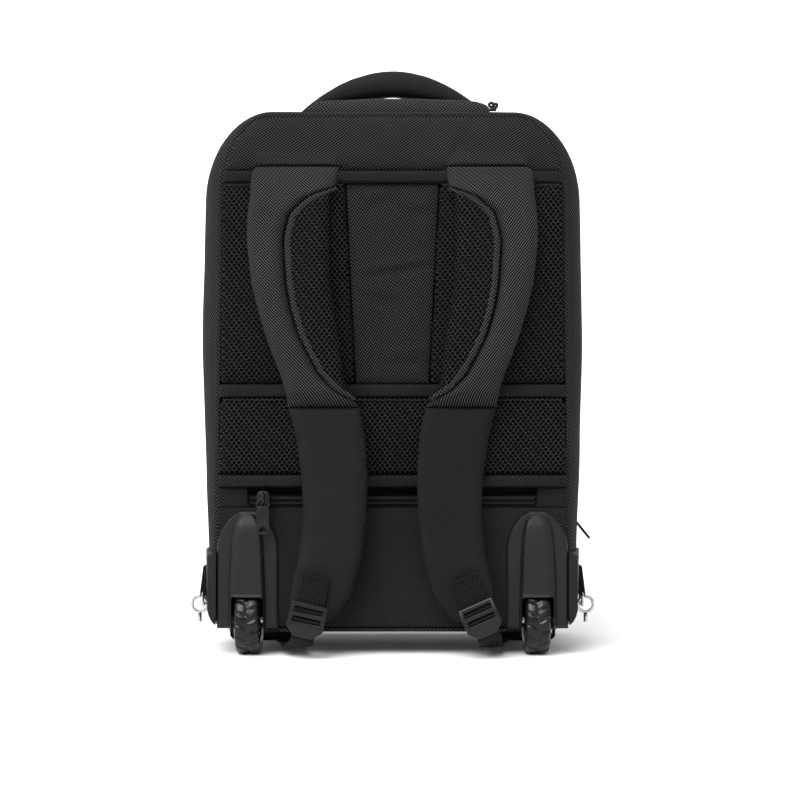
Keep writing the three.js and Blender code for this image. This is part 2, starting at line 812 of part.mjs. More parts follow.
// The moulded guard around an outer bottom corner
function addCornerGuard(bag, side, name) {
  const rows = [
    { depth: -guardProud, swell: 0, inset: 2 },
    { depth: -guardProud * 0.6, swell: 0, inset: 0 },
    ...wallSections
      .filter(({ depth }) => depth * bodyDepth < guardDepth)
      .map(({ depth, swell }) => ({ depth: depth * bodyDepth, swell, inset: 0 })),
    { depth: guardDepth * 0.9, swell: 1, inset: 0 },
    { depth: guardDepth, swell: 1, inset: guardThickness * 0.5 },
  ];
  const whole = loft(rows.map(({ depth, swell, inset }) => bodyRing(depth, swell, inset - guardThickness)));
  const start = wheelReach + housingWidth / 2 + gap;
  const reach = bodyWidth;
  const low = groundClearance - guardThickness * 2;
  const sizes = [start, reach].map((value) => side * value).sort((a, b) => a - b);
  const corner = block([sizes[0], -guardProud * 2, low], [sizes[1], guardDepth * 2, guardTop]);
  const guard = cut(common(whole, corner), bodySolid(gap));
  addPiece(bag, `corner_guard_${name}`, guard, 'plastic');
}

function addFoot(bag, side, name) {
  const shape = new THREE.Shape();
  const halfX = footLength / 2;
  const halfY = footWidth / 2;
  const round = halfY * 0.8;
  shape.moveTo(-halfX + round, -halfY);
  shape.lineTo(halfX - round, -halfY);
  shape.absarc(halfX - round, -halfY + round, round, -Math.PI / 2, 0, false);
  shape.absarc(halfX - round, halfY - round, round, 0, Math.PI / 2, false);
  shape.absarc(-halfX + round, halfY - round, round, Math.PI / 2, Math.PI, false);
  shape.absarc(-halfX + round, -halfY + round, round, Math.PI, Math.PI * 1.5, false);
  const foot = new THREE.ExtrudeGeometry(shape, {
    depth: groundClearance - gap,
    bevelEnabled: false,
    curveSegments: 4,
  });
  foot.translate(side * footReach, bodyDepth - footFromFront - halfY, 0);
  addPiece(bag, `front_foot_${name}`, toGeometry(toSolid(foot)), 'plastic');
}

// Shoulder straps. Rows run down the strap: "down" is a share of the strap's drop, and the inner and outer
// edges are shares of its reach from the middle of the bag.
const strapUpperRows = [
  { down: 0.0, inner: 0.374, outer: 0.954 },
  { down: 0.027, inner: 0.38, outer: 0.965 },
  { down: 0.047, inner: 0.391, outer: 0.973 },
  { down: 0.062, inner: 0.51, outer: 0.98 },
  { down: 0.077, inner: 0.6, outer: 0.985 },
  { down: 0.109, inner: 0.705, outer: 0.997 },
  { down: 0.144, inner: 0.738, outer: 1.0 },
  { down: 0.173, inner: 0.749, outer: 0.997 },
  { down: 0.26, inner: 0.73, outer: 0.965 },
  { down: 0.312, inner: 0.7, outer: 0.925 },
  { down: 0.369, inner: 0.648, outer: 0.873 },
  { down: 0.416, inner: 0.575, outer: 0.82 },
  { down: 0.46, inner: 0.498, outer: 0.765 },
  { down: 0.493, inner: 0.39, outer: 0.735 },
  { down: 0.515, inner: 0.275, outer: 0.722 },
  { down: 0.531, inner: 0.228, outer: 0.714 },
];

const strapMeshRows = [
  { down: 0.056, inner: 0.42 },
  { down: 0.068, inner: 0.428 },
  { down: 0.109, inner: 0.432 },
  { down: 0.173, inner: 0.432 },
  { down: 0.26, inner: 0.425 },
  { down: 0.312, inner: 0.4 },
  { down: 0.369, inner: 0.37 },
  { down: 0.416, inner: 0.35 },
  { down: 0.46, inner: 0.335 },
  { down: 0.493, inner: 0.31 },
  { down: 0.505, inner: 0.3 },
];

const strapLowerRows = [
  { down: 0.533, inner: 0.228, outer: 0.713 },
  { down: 0.56, inner: 0.205, outer: 0.69 },
  { down: 0.598, inner: 0.184, outer: 0.66 },
  { down: 0.685, inner: 0.167, outer: 0.625 },
  { down: 0.772, inner: 0.177, outer: 0.612 },
  { down: 0.86, inner: 0.211, outer: 0.642 },
  { down: 0.93, inner: 0.272, outer: 0.693 },
  { down: 0.965, inner: 0.33, outer: 0.7 },
  { down: 0.99, inner: 0.4, outer: 0.69 },
  { down: 1.0, inner: 0.45, outer: 0.64 },
];

// How far the strap's inner face stands off the tape that it is sewn to, as a share of its standoff, and its
// thickness as a share of the strap's.
const strapBow = [
  { down: 0.0, off: 0.0, thick: 0.5 },
  { down: 0.03, off: 0.0, thick: 0.75 },
  { down: 0.08, off: 0.16, thick: 1.0 },
  { down: 0.15, off: 0.4, thick: 1.0 },
  { down: 0.26, off: 0.75, thick: 1.0 },
  { down: 0.4, off: 1.0, thick: 1.0 },
  { down: 0.5, off: 1.0, thick: 1.0 },
  { down: 0.531, off: 0.97, thick: 0.72 },
  { down: 0.56, off: 0.93, thick: 0.9 },
  { down: 0.7, off: 0.8, thick: 0.95 },
  { down: 0.86, off: 0.6, thick: 0.95 },
  { down: 1.0, off: 0.58, thick: 0.6 },
];

function strapFaces(down) {
  const seat = tapeProud + gap;
  const off = seat + (strapStandoff - seat) * lookUp(strapBow, 'down', 'off', down);
  return { back: -off, front: -off - strapThickness * lookUp(strapBow, 'down', 'thick', down) };
}

// A padded slab through rows of x limits, with rounded edges.
function padded(rows, side, setBack = 0) {
  const rings = rows.map(({ down, inner, outer }) => {
    const z = strapTop - down * strapDrop;
    const { back, front: full } = strapFaces(down);
    const front = full + setBack;
    const near = side * inner;
    const far = side * outer;
    const span = far - near;
    const thin = front - back;
    return [
      [near, back + thin * 0.3, z],
      [near + span * 0.06, back, z],
      [far - span * 0.06, back, z],
      [far, back + thin * 0.3, z],
      [far, back + thin * 0.62, z],
      [far - span * 0.1, front - thin * 0.06, z],
      [near + span * 0.5, front, z],
      [near + span * 0.1, front - thin * 0.06, z],
      [near, back + thin * 0.62, z],
    ];
  });
  return loft(rings);
}

function inReach(row) {
  return { down: row.down, inner: row.inner * strapReach, outer: row.outer * strapReach };
}

function addStrap(bag, side, name) {
  const meshRows = strapMeshRows.map(({ down, inner }) => ({
    down,
    inner: inner * strapReach,
    outer: lookUp(strapUpperRows, 'down', 'inner', down) * strapReach - gap * 2,
  }));
  addPiece(bag, `strap_upper_${name}`, padded(strapUpperRows.map(inReach), side), 'cloth');
  addPiece(bag, `strap_mesh_${name}`, padded(meshRows, side, meshSetBack), 'mesh');
  addPiece(bag, `strap_lower_${name}`, padded(strapLowerRows.map(inReach), side), 'cloth');
}

// Ladder-lock buckle, drawn upright around its own centre, its back at y = 0
function buckleGeometry() {
  const half = buckleWidth / 2;
  const top = buckleHeight / 2;
  const chamfer = buckleWidth * 0.24;
  const nick = buckleWidth * 0.03;
  const shape = new THREE.Shape();
  shape.moveTo(-half, top - nick);
  shape.lineTo(-half + nick, top);
  shape.lineTo(half - nick, top);
  shape.lineTo(half, top - nick);
  shape.lineTo(half, -top + chamfer);
  shape.lineTo(half - chamfer, -top);
  shape.lineTo(-half + chamfer, -top);
  shape.lineTo(-half, -top + chamfer);
  const slotHalf = webbingWidth / 2 + gap;
  const slotTops = [top - buckleBar, top - buckleBar * 2 - buckleSlotHeight];
  for (const slotTop of slotTops) {
    const slot = new THREE.Path();
    slot.moveTo(-slotHalf, slotTop);
    slot.lineTo(slotHalf, slotTop);
    slot.lineTo(slotHalf, slotTop - buckleSlotHeight);
    slot.lineTo(-slotHalf, slotTop - buckleSlotHeight);
    shape.holes.push(slot);
  }
  return toGeometry(toSolid(plate(shape, -buckleThickness, 0, 3)));
}

// A place on a strap's end, level with the top edge of its buckle and turned with it.
function buckleHolder(side, tilt) {
  const holder = new THREE.Group();
  const front = Math.min(strapFaces(0.86).front, strapFaces(0.93).front) - gap;
  holder.position.set(side * buckleReach, front, buckleTop);
  holder.rotation.y = -side * THREE.MathUtils.degToRad(tilt);
  return holder;
}

function addTabAndBuckle(bag, side, name, tilt) {
  const holder = buckleHolder(side, tilt);
  bag.add(holder);
  const half = webbingWidth / 2;
  const behind = buckleBar * 1.5 + buckleSlotHeight;
  const tab = block([-half, -webbingThickness, -behind], [half, 0, tabAbove]);
  addPiece(holder, `strap_tab_${name}`, tab, 'webbing');
  const buckle = addPiece(holder, `buckle_${name}`, buckleGeometry(), 'buckle');
  buckle.position.set(0, -webbingThickness - gap, -buckleHeight / 2);
}

// Lower webbing, from its sewn end behind the wheel housing to the buckle. It lies level under the bag:
// "out" is a share of the wheel's reach from the middle, "deep" runs from 0 at the seam plane to 1 behind
// the wheel's well, and "turn" is the direction of its width, 90 along Y and 0 along X.
const lowerWebbingRows = [
  { out: 1.038, deep: 1.06, turn: 88 },
  { out: 0.892, deep: 1.0, turn: 70 },
  { out: 0.785, deep: 0.76, turn: 40 },
  { out: 0.715, deep: 0.363, turn: 16 },
  { out: 0.677, deep: -0.116, turn: 6 },
];

function lowerWebbingRoute() {
  const low = groundClearance - lowerWebbingDrop;
  const passY = wheelDepth + wellRadius + housingWall + webbingWidth * 0.1;
  const sewnX = wheelReach + wellHalf + housingWall + webbingThickness + gap * 2;
  const sewnTop = undersideAt(sewnX - webbingThickness / 2) - gap;
  return [
    { x: sewnX, y: passY, z: sewnTop, turn: 90 },
    { x: sewnX, y: passY, z: mix(groundClearance, low, 0.7), turn: 90 },
    { x: sewnX - webbingThickness * 1.5, y: passY, z: low + webbingThickness / 2, turn: 90 },
    ...lowerWebbingRows.map(({ out, deep, turn }) => ({
      x: wheelReach * out,
      y: passY * deep,
      z: low,
      turn,
      level: true,
    })),
  ];
}

function strip(stations, width, thickness) {
  const rings = stations.map(({ centre, across, normal }) => {
    const w = across.clone().multiplyScalar(width / 2);
    const n = normal.clone().multiplyScalar(thickness / 2);
    return [
      centre.clone().sub(w).sub(n),
      centre.clone().add(w).sub(n),
      centre.clone().add(w).add(n),
      centre.clone().sub(w).add(n),
    ].map((p) => p.toArray());
  });
  return loft(rings);
}

function addLowerWebbing(bag, side, name, tilt) {
  const stations = lowerWebbingRoute().map(({ x, y, z, turn, level }) => {
    const angle = THREE.MathUtils.degToRad(turn);
    const across = new THREE.Vector3(side * Math.cos(angle), Math.sin(angle), 0);
    return { centre: new THREE.Vector3(side * x, y, z), across, level };
  });
  const holder = buckleHolder(side, tilt);
  holder.updateMatrix();
  const slot = buckleBar * 2 + buckleSlotHeight * 2;
  const back = webbingThickness / 2;
  const rise = [
    { down: buckleHeight * 1.23, deep: back + buckleThickness * 2.25 },
    { down: buckleHeight * 1.07, deep: back + buckleThickness * 0.4 },
    { down: slot + buckleSlotHeight * 0.2, deep: -back },
    { down: slot - buckleSlotHeight - buckleBar * 0.4, deep: -back },
  ];
  for (const { down, deep } of rise) {
    const centre = new THREE.Vector3(0, deep, -down).applyMatrix4(holder.matrix);
    const across = new THREE.Vector3(side, 0, 0).applyEuler(holder.rotation);
    stations.push({ centre, across });
  }
  stations.forEach((station, i) => {
    const before = stations[Math.max(i - 1, 0)].centre;
    const after = stations[Math.min(i + 1, stations.length - 1)].centre;
    station.normal = after.clone().sub(before).cross(station.across).normalize();
    if (station.level) {
      station.normal.set(0, 0, Math.sign(station.normal.z));
    }
  });
  addPiece(bag, `lower_webbing_${name}`, strip(stations, lowerWebbingWidth, webbingThickness), 'webbing');
}

// Side loop of folded webbing, hanging beside the wall with the D-ring's bar through its fold
function foldCentreX() {
  const wallOuter = halfWidth(loopBottom + loopHeight, 1) + guardThickness + gap;
  return wallOuter + loopThickness / 2 + gap;
}

function hookCentreX() {
  return foldCentreX() + hookRadius - hookWire - ringWire - gap;
}

function addSideHardware(bag, side, name) {
  const top = loopBottom + loopHeight;
  const half = loopThickness / 2;
  const foldX = foldCentreX();
  const inner = foldX - half - gap;
  const barZ = loopBottom + half;
  const shape = new THREE.Shape();
  shape.moveTo(inner, top);
  shape.lineTo(inner, top - webbingThickness * 2);
  shape.lineTo(foldX - half, barZ);
  shape.absarc(foldX, barZ, half, Math.PI, Math.PI * 2, false);
  shape.lineTo(inner + webbingThickness * 2, top);
  const hole = new THREE.Path();
  hole.absarc(foldX, barZ, ringWire + gap * 2, 0, Math.PI * 2, true);
  shape.holes.push(hole);
  const loop = plate(shape, loopFromSeam - loopWidth / 2, loopFromSeam + loopWidth / 2, 5);
  addPiece(bag, `side_loop_${name}`, mirrored(loop, side), 'webbing');

  const ringHalf = loopWidth / 2 + ringWire * 2;
  const ringRoute = [
    [-ringHalf, 0],
    [ringHalf, 0],
    [ringHalf, -ringHeight * 0.5],
    [ringHalf * 0.55, -ringHeight],
    [-ringHalf * 0.55, -ringHeight],
    [-ringHalf, -ringHeight * 0.5],
  ];
  const ring = wireLoop(ringRoute.map(([y, z]) => [foldX, loopFromSeam + y, barZ + z]), ringWire, wireSides);
  addPiece(bag, `d_ring_${name}`, mirrored(ring, side), 'steel');

  const hookX = hookCentreX();
  const hookZ = barZ - ringHeight;
  const hookPoints = [];
  for (let i = 0; i < hookSteps; i += 1) {
    const turn = (i / hookSteps) * Math.PI * 2;
    const [across, up] = [hookRadius * Math.cos(turn), hookRadius * Math.sin(turn)];
    hookPoints.push([hookX + across, loopFromSeam, hookZ + up]);
  }
  const hook = wireLoop(hookPoints, hookWire, wireSides);
  const shank = new THREE.CylinderGeometry(hookWire * 1.3, hookWire * 1.3, hookShank, 8);
  shank.rotateX(Math.PI / 2);
  shank.translate(hookX, loopFromSeam, hookZ - hookRadius - hookShank / 2);
  addPiece(bag, `snap_hook_${name}`, mirrored(joined(hook, shank), side), 'steel');
}

// A piece drawn for the right side, or its mirror image on the left.
function mirrored(geometry, side) {
  const whole = toGeometry(toSolid(geometry));
  whole.scale(side, 1, 1);
  return facingOut(whole);
}

// A closed wire of round section through a flat ring of points.
function wireLoop(points, radius, sides) {
  const centres = points.map((p) => new THREE.Vector3(...p));
  const count = centres.length;
  const plane = ringNormal(points).normalize();
  const vertices = [];
  centres.forEach((centre, i) => {
    const before = centres[(i + count - 1) % count];
    const after = centres[(i + 1) % count];
    const inLeg = centre.clone().sub(before).normalize();
    const outLeg = after.clone().sub(centre).normalize();
    const along = inLeg.clone().add(outLeg).normalize();
    const outward = along.clone().cross(plane).normalize();
    const stretch = 1 / Math.max(0.5, along.dot(outLeg));
    for (let k = 0; k < sides; k += 1) {
      const turn = (k / sides) * Math.PI * 2;
      const p = centre.clone();
      p.addScaledVector(outward, Math.cos(turn) * radius * stretch);
      p.addScaledVector(plane, Math.sin(turn) * radius);
      vertices.push(p.toArray());
    }
  });
  const faces = [];
  for (let i = 0; i < count; i += 1) {
    faces.push(...band(i * sides, ((i + 1) % count) * sides, sides));
  }
  return fromFaces(vertices, faces);
}

// Grab handle: an arch whose top line is a parabola, thickest in the middle. "along" is a share of half the
// span, "thick" of the thickness and "deep" of the depth.
const handleRows = [
  { along: 0.0, thick: 1.0, deep: 1.0 },
  { along: 0.2, thick: 0.98, deep: 1.0 },
  { along: 0.4, thick: 0.88, deep: 0.98 },
  { along: 0.58, thick: 0.72, deep: 0.94 },
  { along: 0.74, thick: 0.58, deep: 0.9 },
  { along: 0.88, thick: 0.46, deep: 0.88 },
  { along: 1.0, thick: 0.34, deep: 0.88 },
];

function addHandle(bag) {
  const rows = [
    ...[...handleRows].reverse().map((row) => ({ ...row, along: -row.along })),
    ...handleRows.slice(1),
  ];
  const half = handleSpan / 2;
  const seat = topAt(handleFromSeam) + gap;
  const rings = rows.map(({ along, thick, deep }) => {
    const x = along * half;
    const crest = seat + handleRise * (1 - along * along);
    const slope = (-2 * handleRise * along) / half;
    const length = Math.hypot(1, slope);
    const normal = [-slope / length, 1 / length];
    const tall = handleThickness * thick;
    const wide = (handleDepth * deep) / 2;
    const section = [
      [-0.55, 0],
      [0.55, 0],
      [1, -0.34],
      [0.92, -0.74],
      [0.5, -1],
      [-0.5, -1],
      [-0.92, -0.74],
      [-1, -0.34],
    ];
    return section.map(([y, down]) => {
      const off = tall * down;
      return [x + normal[0] * off, handleFromSeam + y * wide, crest + normal[1] * off];
    });
  });
  const skin = cut(bodySolid(anchorThickness), bodySolid(gap));
  for (const [side, name] of [[-1, 'left'], [1, 'right']]) {
    const ends = [side * (half - anchorLength * 0.45), side * (half + anchorLength * 0.55)];
    const [near, far] = ends.sort((a, b) => a - b);
    const deep = (handleDepth * 1.1) / 2;
    const low = [near, handleFromSeam - deep, topCornerZ];
    const patch = block(low, [far, handleFromSeam + deep, bodyTop * 1.2]);
    addPiece(bag, `handle_anchor_${name}`, common(skin, patch), 'cloth');
  }
  addPiece(bag, 'grab_handle', cut(loft(rings), bodySolid(anchorThickness + gap)), 'cloth');
}

function addTrolleyCover(bag) {
  const back = coverFront + coverDepth;
  const crest = topAt(coverFront) + coverHeight;
  const bend = crest - coverHeight * 0.09;
  const shape = new THREE.Shape();
  const low = topAt(0) - wall;
  shape.moveTo(-coverLeft, low);
  shape.lineTo(coverRight, low);
  shape.lineTo(coverRight, topAt(coverFront) + coverHeight * 0.35);
  shape.bezierCurveTo(coverRight, bend, coverRight - coverHeight, bend, coverRight * 0.4, crest);
  shape.lineTo(-coverLeft * 0.4, crest);
  shape.bezierCurveTo(-coverLeft + coverHeight, bend, -coverLeft, bend, -coverLeft, low + coverHeight);
  const pod = plate(shape, coverFront, back, 5);
  addPiece(bag, 'trolley_cover', cut(pod, bodySolid(gap)), 'cloth');
  const slider = addPiece(bag, 'trolley_zip_slider', slideCarriage(), 'slider');
  const sliderY = coverFront + pullWidth * 0.5;
  slider.position.set(coverRight + gap, sliderY, topAt(sliderY + pullWidth * 0.4) + gap);
}

// A plain slider lying on the top wall beside the cover, its underside at z = 0
function slideCarriage() {
  const half = pullWidth * 0.4;
  const low = block([0, -half, 0], [half * 1.5, half, pullThickness * 1.6]);
  const high = block([half * 0.3, -half * 0.5, pullThickness], [half * 1.2, half * 0.5, pullThickness * 3]);
  return joined(low, high);
}

const rearReach = strapStandoff + strapThickness;
const frontReach = bodyDepth + frontCrown;

const bag = new THREE.Group();
bag.position.y = (rearReach - frontReach) / 2;
addSideWall(bag);
addFront(bag);
addBackPanels(bag);
addBackZip(bag);
addMainPull(bag);
addHandle(bag);
addTrolleyCover(bag);
for (const [side, name, tilt] of [[-1, 'left', leftTabTilt], [1, 'right', rightTabTilt]]) {
  addWheelHousing(bag, side, name);
  addWheel(bag, side, name);
  addCornerGuard(bag, side, name);
  addFoot(bag, side, name);
  addStrap(bag, side, name);
  addTabAndBuckle(bag, side, name, tilt);
  addLowerWebbing(bag, side, name, tilt);
  addSideHardware(bag, side, name);
}

const group = new THREE.Group();
group.add(bag);
export default group;
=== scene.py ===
"""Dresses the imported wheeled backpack: cloth, spacer mesh, webbing, zips, moulded plastic and rubber wheels.

Lengths are in metres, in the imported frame's axes. A depth runs from the back seam's plane towards the front.
"""
import math

import bmesh
import bpy
from mathutils import Matrix, Vector, noise


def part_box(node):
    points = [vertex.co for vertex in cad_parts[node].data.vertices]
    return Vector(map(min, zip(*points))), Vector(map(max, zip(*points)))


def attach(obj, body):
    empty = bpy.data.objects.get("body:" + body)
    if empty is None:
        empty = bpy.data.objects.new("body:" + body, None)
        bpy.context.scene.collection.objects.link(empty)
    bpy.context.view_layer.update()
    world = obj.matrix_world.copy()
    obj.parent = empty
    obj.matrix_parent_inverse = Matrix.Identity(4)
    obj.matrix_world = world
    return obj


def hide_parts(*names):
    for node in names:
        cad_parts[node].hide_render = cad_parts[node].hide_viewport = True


bl_info = {
    "name": "Wheeled backpack",
    "version": (1, 0, 0),
    "blender": (4, 5, 0),
    "location": "View3D > Sidebar > Backpack",
    "description": "Builds the visible pieces of a wheeled backpack over its packed solids",
    "category": "Object",
}

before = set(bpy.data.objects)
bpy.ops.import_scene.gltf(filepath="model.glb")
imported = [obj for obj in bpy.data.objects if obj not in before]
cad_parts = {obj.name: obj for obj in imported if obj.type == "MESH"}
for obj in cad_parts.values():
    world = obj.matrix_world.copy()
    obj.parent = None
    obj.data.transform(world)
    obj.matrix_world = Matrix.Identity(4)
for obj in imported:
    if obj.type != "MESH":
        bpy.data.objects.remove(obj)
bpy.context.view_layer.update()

# Sizes of the bag's body
SEAM_Y = -0.068
BODY_HALF = 0.1745
BODY_TOP = 0.493
BODY_FOOT = 0.021
BODY_DEPTH = 0.152
SEAM_HALF = 0.1545
SEAM_DROP = 0.006
CORNER_X = 0.1095
CORNER_Z = 0.409
FOOT_RADIUS = 0.024
RIM = 0.003
GAP = 0.0003
WALL = 0.004
FRONT_CROWN = 0.024
PANEL_BACK = 0.004

# Height as a share of the body's, width at the widest line, width at the seams
SIDE_ROWS = (
    (0.0, 0.957, 1.02),
    (0.146, 0.966, 1.019),
    (0.294, 0.983, 1.014),
    (0.549, 1.0, 1.003),
    (0.803, 0.988, 0.996),
    (1.0, 0.976, 0.992),
)

# Depth as a share of the body's, swell from the seam to the widest line
WALL_ROWS = (
    (0.0, 0.0),
    (0.045, 0.42),
    (0.12, 0.8),
    (0.25, 1.0),
    (0.74, 1.0),
    (0.87, 0.85),
    (0.955, 0.48),
    (1.0, 0.0),
)

# Heights of the back panels' edges
YOKE_FOOT = 0.4355
UPPER_TAPE_FOOT = 0.4245
MIDDLE_TAPE_TOP = 0.2435
MIDDLE_TAPE_FOOT = 0.232
LOWER_TAPE_TOP = 0.1622
LOWER_TAPE_FOOT = 0.1512
ZIP_FOOT = 0.1332
ZIP_HALF = 0.13
CHANNEL_TOP_HALF = 0.042
CHANNEL_FOOT_HALF = 0.033

# Straps
STRAP_TOP = 0.4385
STRAP_DROP = 0.406
STRAP_REACH = 0.1295
STRAP_SEAT = 0.0093
STRAP_STANDOFF = 0.028
STRAP_THICKNESS = 0.012

# Wheels
WHEEL_X = 0.13
WHEEL_Y = -0.057
WHEEL_Z = 0.031
WHEEL_RADIUS = 0.031
WHEEL_HALF = 0.0115
WELL_HALF = 0.0143

# Main zip: its depth, half its tape's width, the heights where tape, groove and teeth end, and its groove
MAIN_ZIP_DEEP = 0.093
MAIN_ZIP_HALF = 0.005
MAIN_ZIP_FOOT = 0.1045
GROOVE_FOOT = 0.105
TEETH_FOOT = 0.106
GROOVE = (0.0877, 0.0983)
GROOVE_RINGS = (0.0874, 0.0878, 0.0982, 0.0986)
GROOVE_SUNK = -0.0013

# Grab handle: half its span, its rise, its depth and the lowest that it reaches
HANDLE_HALF = 0.092
HANDLE_RISE = 0.0436
HANDLE_DEEP = 0.07
HANDLE_FOOT = 0.4956

# Cover over the stowed trolley handle
COVER_LEFT = -0.076
COVER_RIGHT = 0.088
COVER_FIRST = 0.009
COVER_LAST = 0.049

# Height of a cell of the spacer mesh, with a hole in its middle and at its corners, as a share of its width
MESH_STRETCH = 1.265


def mix(a, b, t):
    return a + (b - a) * t


def clamp(value, low=0.0, high=1.0):
    return min(max(value, low), high)


def ease(t):
    t = clamp(t)
    return t * t * (3 - 2 * t)


def row_before(rows, at):
    """Number of the table's row before a key."""
    i = 0
    while i < len(rows) - 2 and rows[i + 1][0] < at:
        i += 1
    return i


def linear(rows, at):
    """The values beside a key, on straight lines through the table's rows."""
    i = row_before(rows, at)
    a, b = rows[i], rows[i + 1]
    t = clamp((at - a[0]) / (b[0] - a[0]))
    return [mix(a[k], b[k], t) for k in range(1, len(a))]


def smooth(rows, at):
    """The values beside a key, on a smooth curve through the table's rows."""
    i = row_before(rows, at)
    a, b = rows[i], rows[i + 1]
    before = rows[max(i - 1, 0)]
    after = rows[min(i + 2, len(rows) - 1)]
    span = b[0] - a[0]
    t = clamp((at - a[0]) / span)
    values = []
    for k in range(1, len(a)):
        start = (b[k] - before[k]) / (b[0] - before[0]) * span
        end = (after[k] - a[k]) / (after[0] - a[0]) * span
        t2, t3 = t * t, t * t * t
        value = (2 * t3 - 3 * t2 + 1) * a[k] + (t3 - 2 * t2 + t) * start
        values.append(value + (3 * t2 - 2 * t3) * b[k] + (t3 - t2) * end)
    return values


def dome(distance, radius):
    """Height of a quarter round at a distance from its edge, from 0 to 1."""
    t = clamp(distance / radius)
    return math.sqrt(max(0.0, 1 - (1 - t) ** 2))


def ripple(x, y, z, size, seed=0.0):
    """Smooth unevenness from -1 to 1, the same every run."""
    return noise.noise(Vector((x / size + seed, y / size - seed, z / size + seed * 0.5)))


def half_width(z, swell):
    wide, seam = smooth(SIDE_ROWS, (z - BODY_FOOT) / (BODY_TOP - BODY_FOOT))
    return mix(SEAM_HALF * seam + RIM, BODY_HALF * wide, swell)


def swell_at(deep):
    return clamp(smooth(WALL_ROWS, deep / BODY_DEPTH)[0])


def top_at(deep):
    return BODY_TOP - SEAM_DROP * (1 - swell_at(deep))


def outline(swell, inset, corner_steps=24, side_steps=44, flat_steps=26):
    """The body's outline at one depth as closed (x, z) points, from its foot's middle round to the right."""
    top = BODY_TOP - SEAM_DROP * (1 - swell) - inset
    foot = BODY_FOOT + inset
    radius = max(FOOT_RADIUS - inset, 0.004)
    half = []
    centre = half_width(foot + radius, swell) - inset - radius
    for i in range(flat_steps):
        half.append((centre * i / flat_steps, foot))
    for i in range(11):
        turn = i / 10 * math.pi / 2
        half.append((centre + radius * math.sin(turn), foot + radius * (1 - math.cos(turn))))
    for i in range(1, side_steps):
        z = mix(foot + radius, CORNER_Z, i / side_steps)
        half.append((half_width(z, swell) - inset, z))
    reach = half_width(CORNER_Z, swell) - inset - CORNER_X
    for i in range(corner_steps + 1):
        turn = i / corner_steps * math.pi / 2
        half.append((CORNER_X + reach * math.cos(turn), CORNER_Z + (top - CORNER_Z) * math.sin(turn)))
    for i in range(1, flat_steps + 1):
        half.append((CORNER_X * (1 - i / flat_steps), top))
    return half + [(-x, z) for x, z in reversed(half[1:-1])]


def panel_half(z):
    """Half the width of what lies inside the back and front seams, at a height."""
    inset = RIM + GAP
    foot = BODY_FOOT + inset
    radius = FOOT_RADIUS - inset
    if z < foot + radius:
        drop = radius - (z - foot)
        centre = half_width(foot + radius, 0) - inset - radius
        return centre + math.sqrt(max(0.0, radius * radius - drop * drop))
    if z <= CORNER_Z:
        return half_width(z, 0) - inset
    top = BODY_TOP - SEAM_DROP - inset
    reach = half_width(CORNER_Z, 0) - inset - CORNER_X
    t = clamp((z - CORNER_Z) / (top - CORNER_Z))
    return CORNER_X + reach * math.sqrt(1 - t * t)


def panel_left(z):
    return -panel_half(z)


PANEL_FOOT = BODY_FOOT + WALL + GAP
PANEL_TOP = BODY_TOP - SEAM_DROP - RIM - GAP


# Meshes


def grid_faces(rows, columns, start=0, closed=False):
    faces = []
    span = columns if closed else columns - 1
    for r in range(rows - 1):
        for c in range(span):
            d = (c + 1) % columns
            low, high = start + r * columns, start + (r + 1) * columns
            faces.append((low + c, low + d, high + d, high + c))
    return faces


def linked(name, data):
    """A new object in the scene with this data."""
    made = bpy.data.objects.new(name, data)
    bpy.context.scene.collection.objects.link(made)
    return made


def used_up(piece):
    data = piece.data
    bpy.data.objects.remove(piece)
    bpy.data.meshes.remove(data)


def filled_mesh(name, work):
    """A new mesh from a bmesh, which is freed."""
    mesh = bpy.data.meshes.new(name)
    work.to_mesh(mesh)
    work.free()
    return mesh


def mesh_piece(name, points, faces):
    """A new object whose faces all point outwards."""
    mesh = bpy.data.meshes.new(name)
    mesh.from_pydata([tuple(p) for p in points], [], faces)
    work = bmesh.new()
    work.from_mesh(mesh)
    bmesh.ops.recalc_face_normals(work, faces=work.faces)
    work.to_mesh(mesh)
    work.free()
    return linked(name, mesh)


def loft(name, rings, caps=True):
    """A solid through closed rings of equally many points."""
    count = len(rings[0])
    faces = grid_faces(len(rings), count, closed=True)
    if caps:
        faces.append(tuple(range(count)))
        last = (len(rings) - 1) * count
        faces.append(tuple(last + i for i in range(count)))
    return mesh_piece(name, [p for ring in rings for p in ring], faces)


def eased_shares(count):
    """Shares from 0 to 1 that lie closer together near both ends."""
    shares = [0.5 - 0.5 * math.cos(math.pi * i / (count - 1)) for i in range(count)]
    return [mix(a, i / (count - 1), 0.55) for i, a in enumerate(shares)]


def panel(name, left, right, low, high, face, inside, columns, rows):
    """A sewn panel with a worked outer face, a skirt and a plain back. face gives a depth at (x, z, edge)."""
    across = eased_shares(columns)
    points = []
    for v in eased_shares(rows):
        z = mix(low, high, v)
        a, b = left(z), right(z)
        for u in across:
            x = mix(a, b, u)
            edge = min(x - a, b - x, z - low, high - z)
            points.append((x, SEAM_Y + face(x, z, max(edge, 0.0)), z))
    faces = grid_faces(rows, columns)
    border = list(range(columns))
    border += [r * columns + columns - 1 for r in range(1, rows)]
    border += [(rows - 1) * columns + c for c in range(columns - 2, -1, -1)]
    border += [r * columns for r in range(rows - 2, 0, -1)]
    start = len(points)
    points += [(points[i][0], SEAM_Y + inside, points[i][2]) for i in border]
    count = len(border)
    for i in range(count):
        j = (i + 1) % count
        faces.append((border[i], border[j], start + j, start + i))
    faces.append(tuple(start + i for i in range(count)))
    return mesh_piece(name, points, faces)


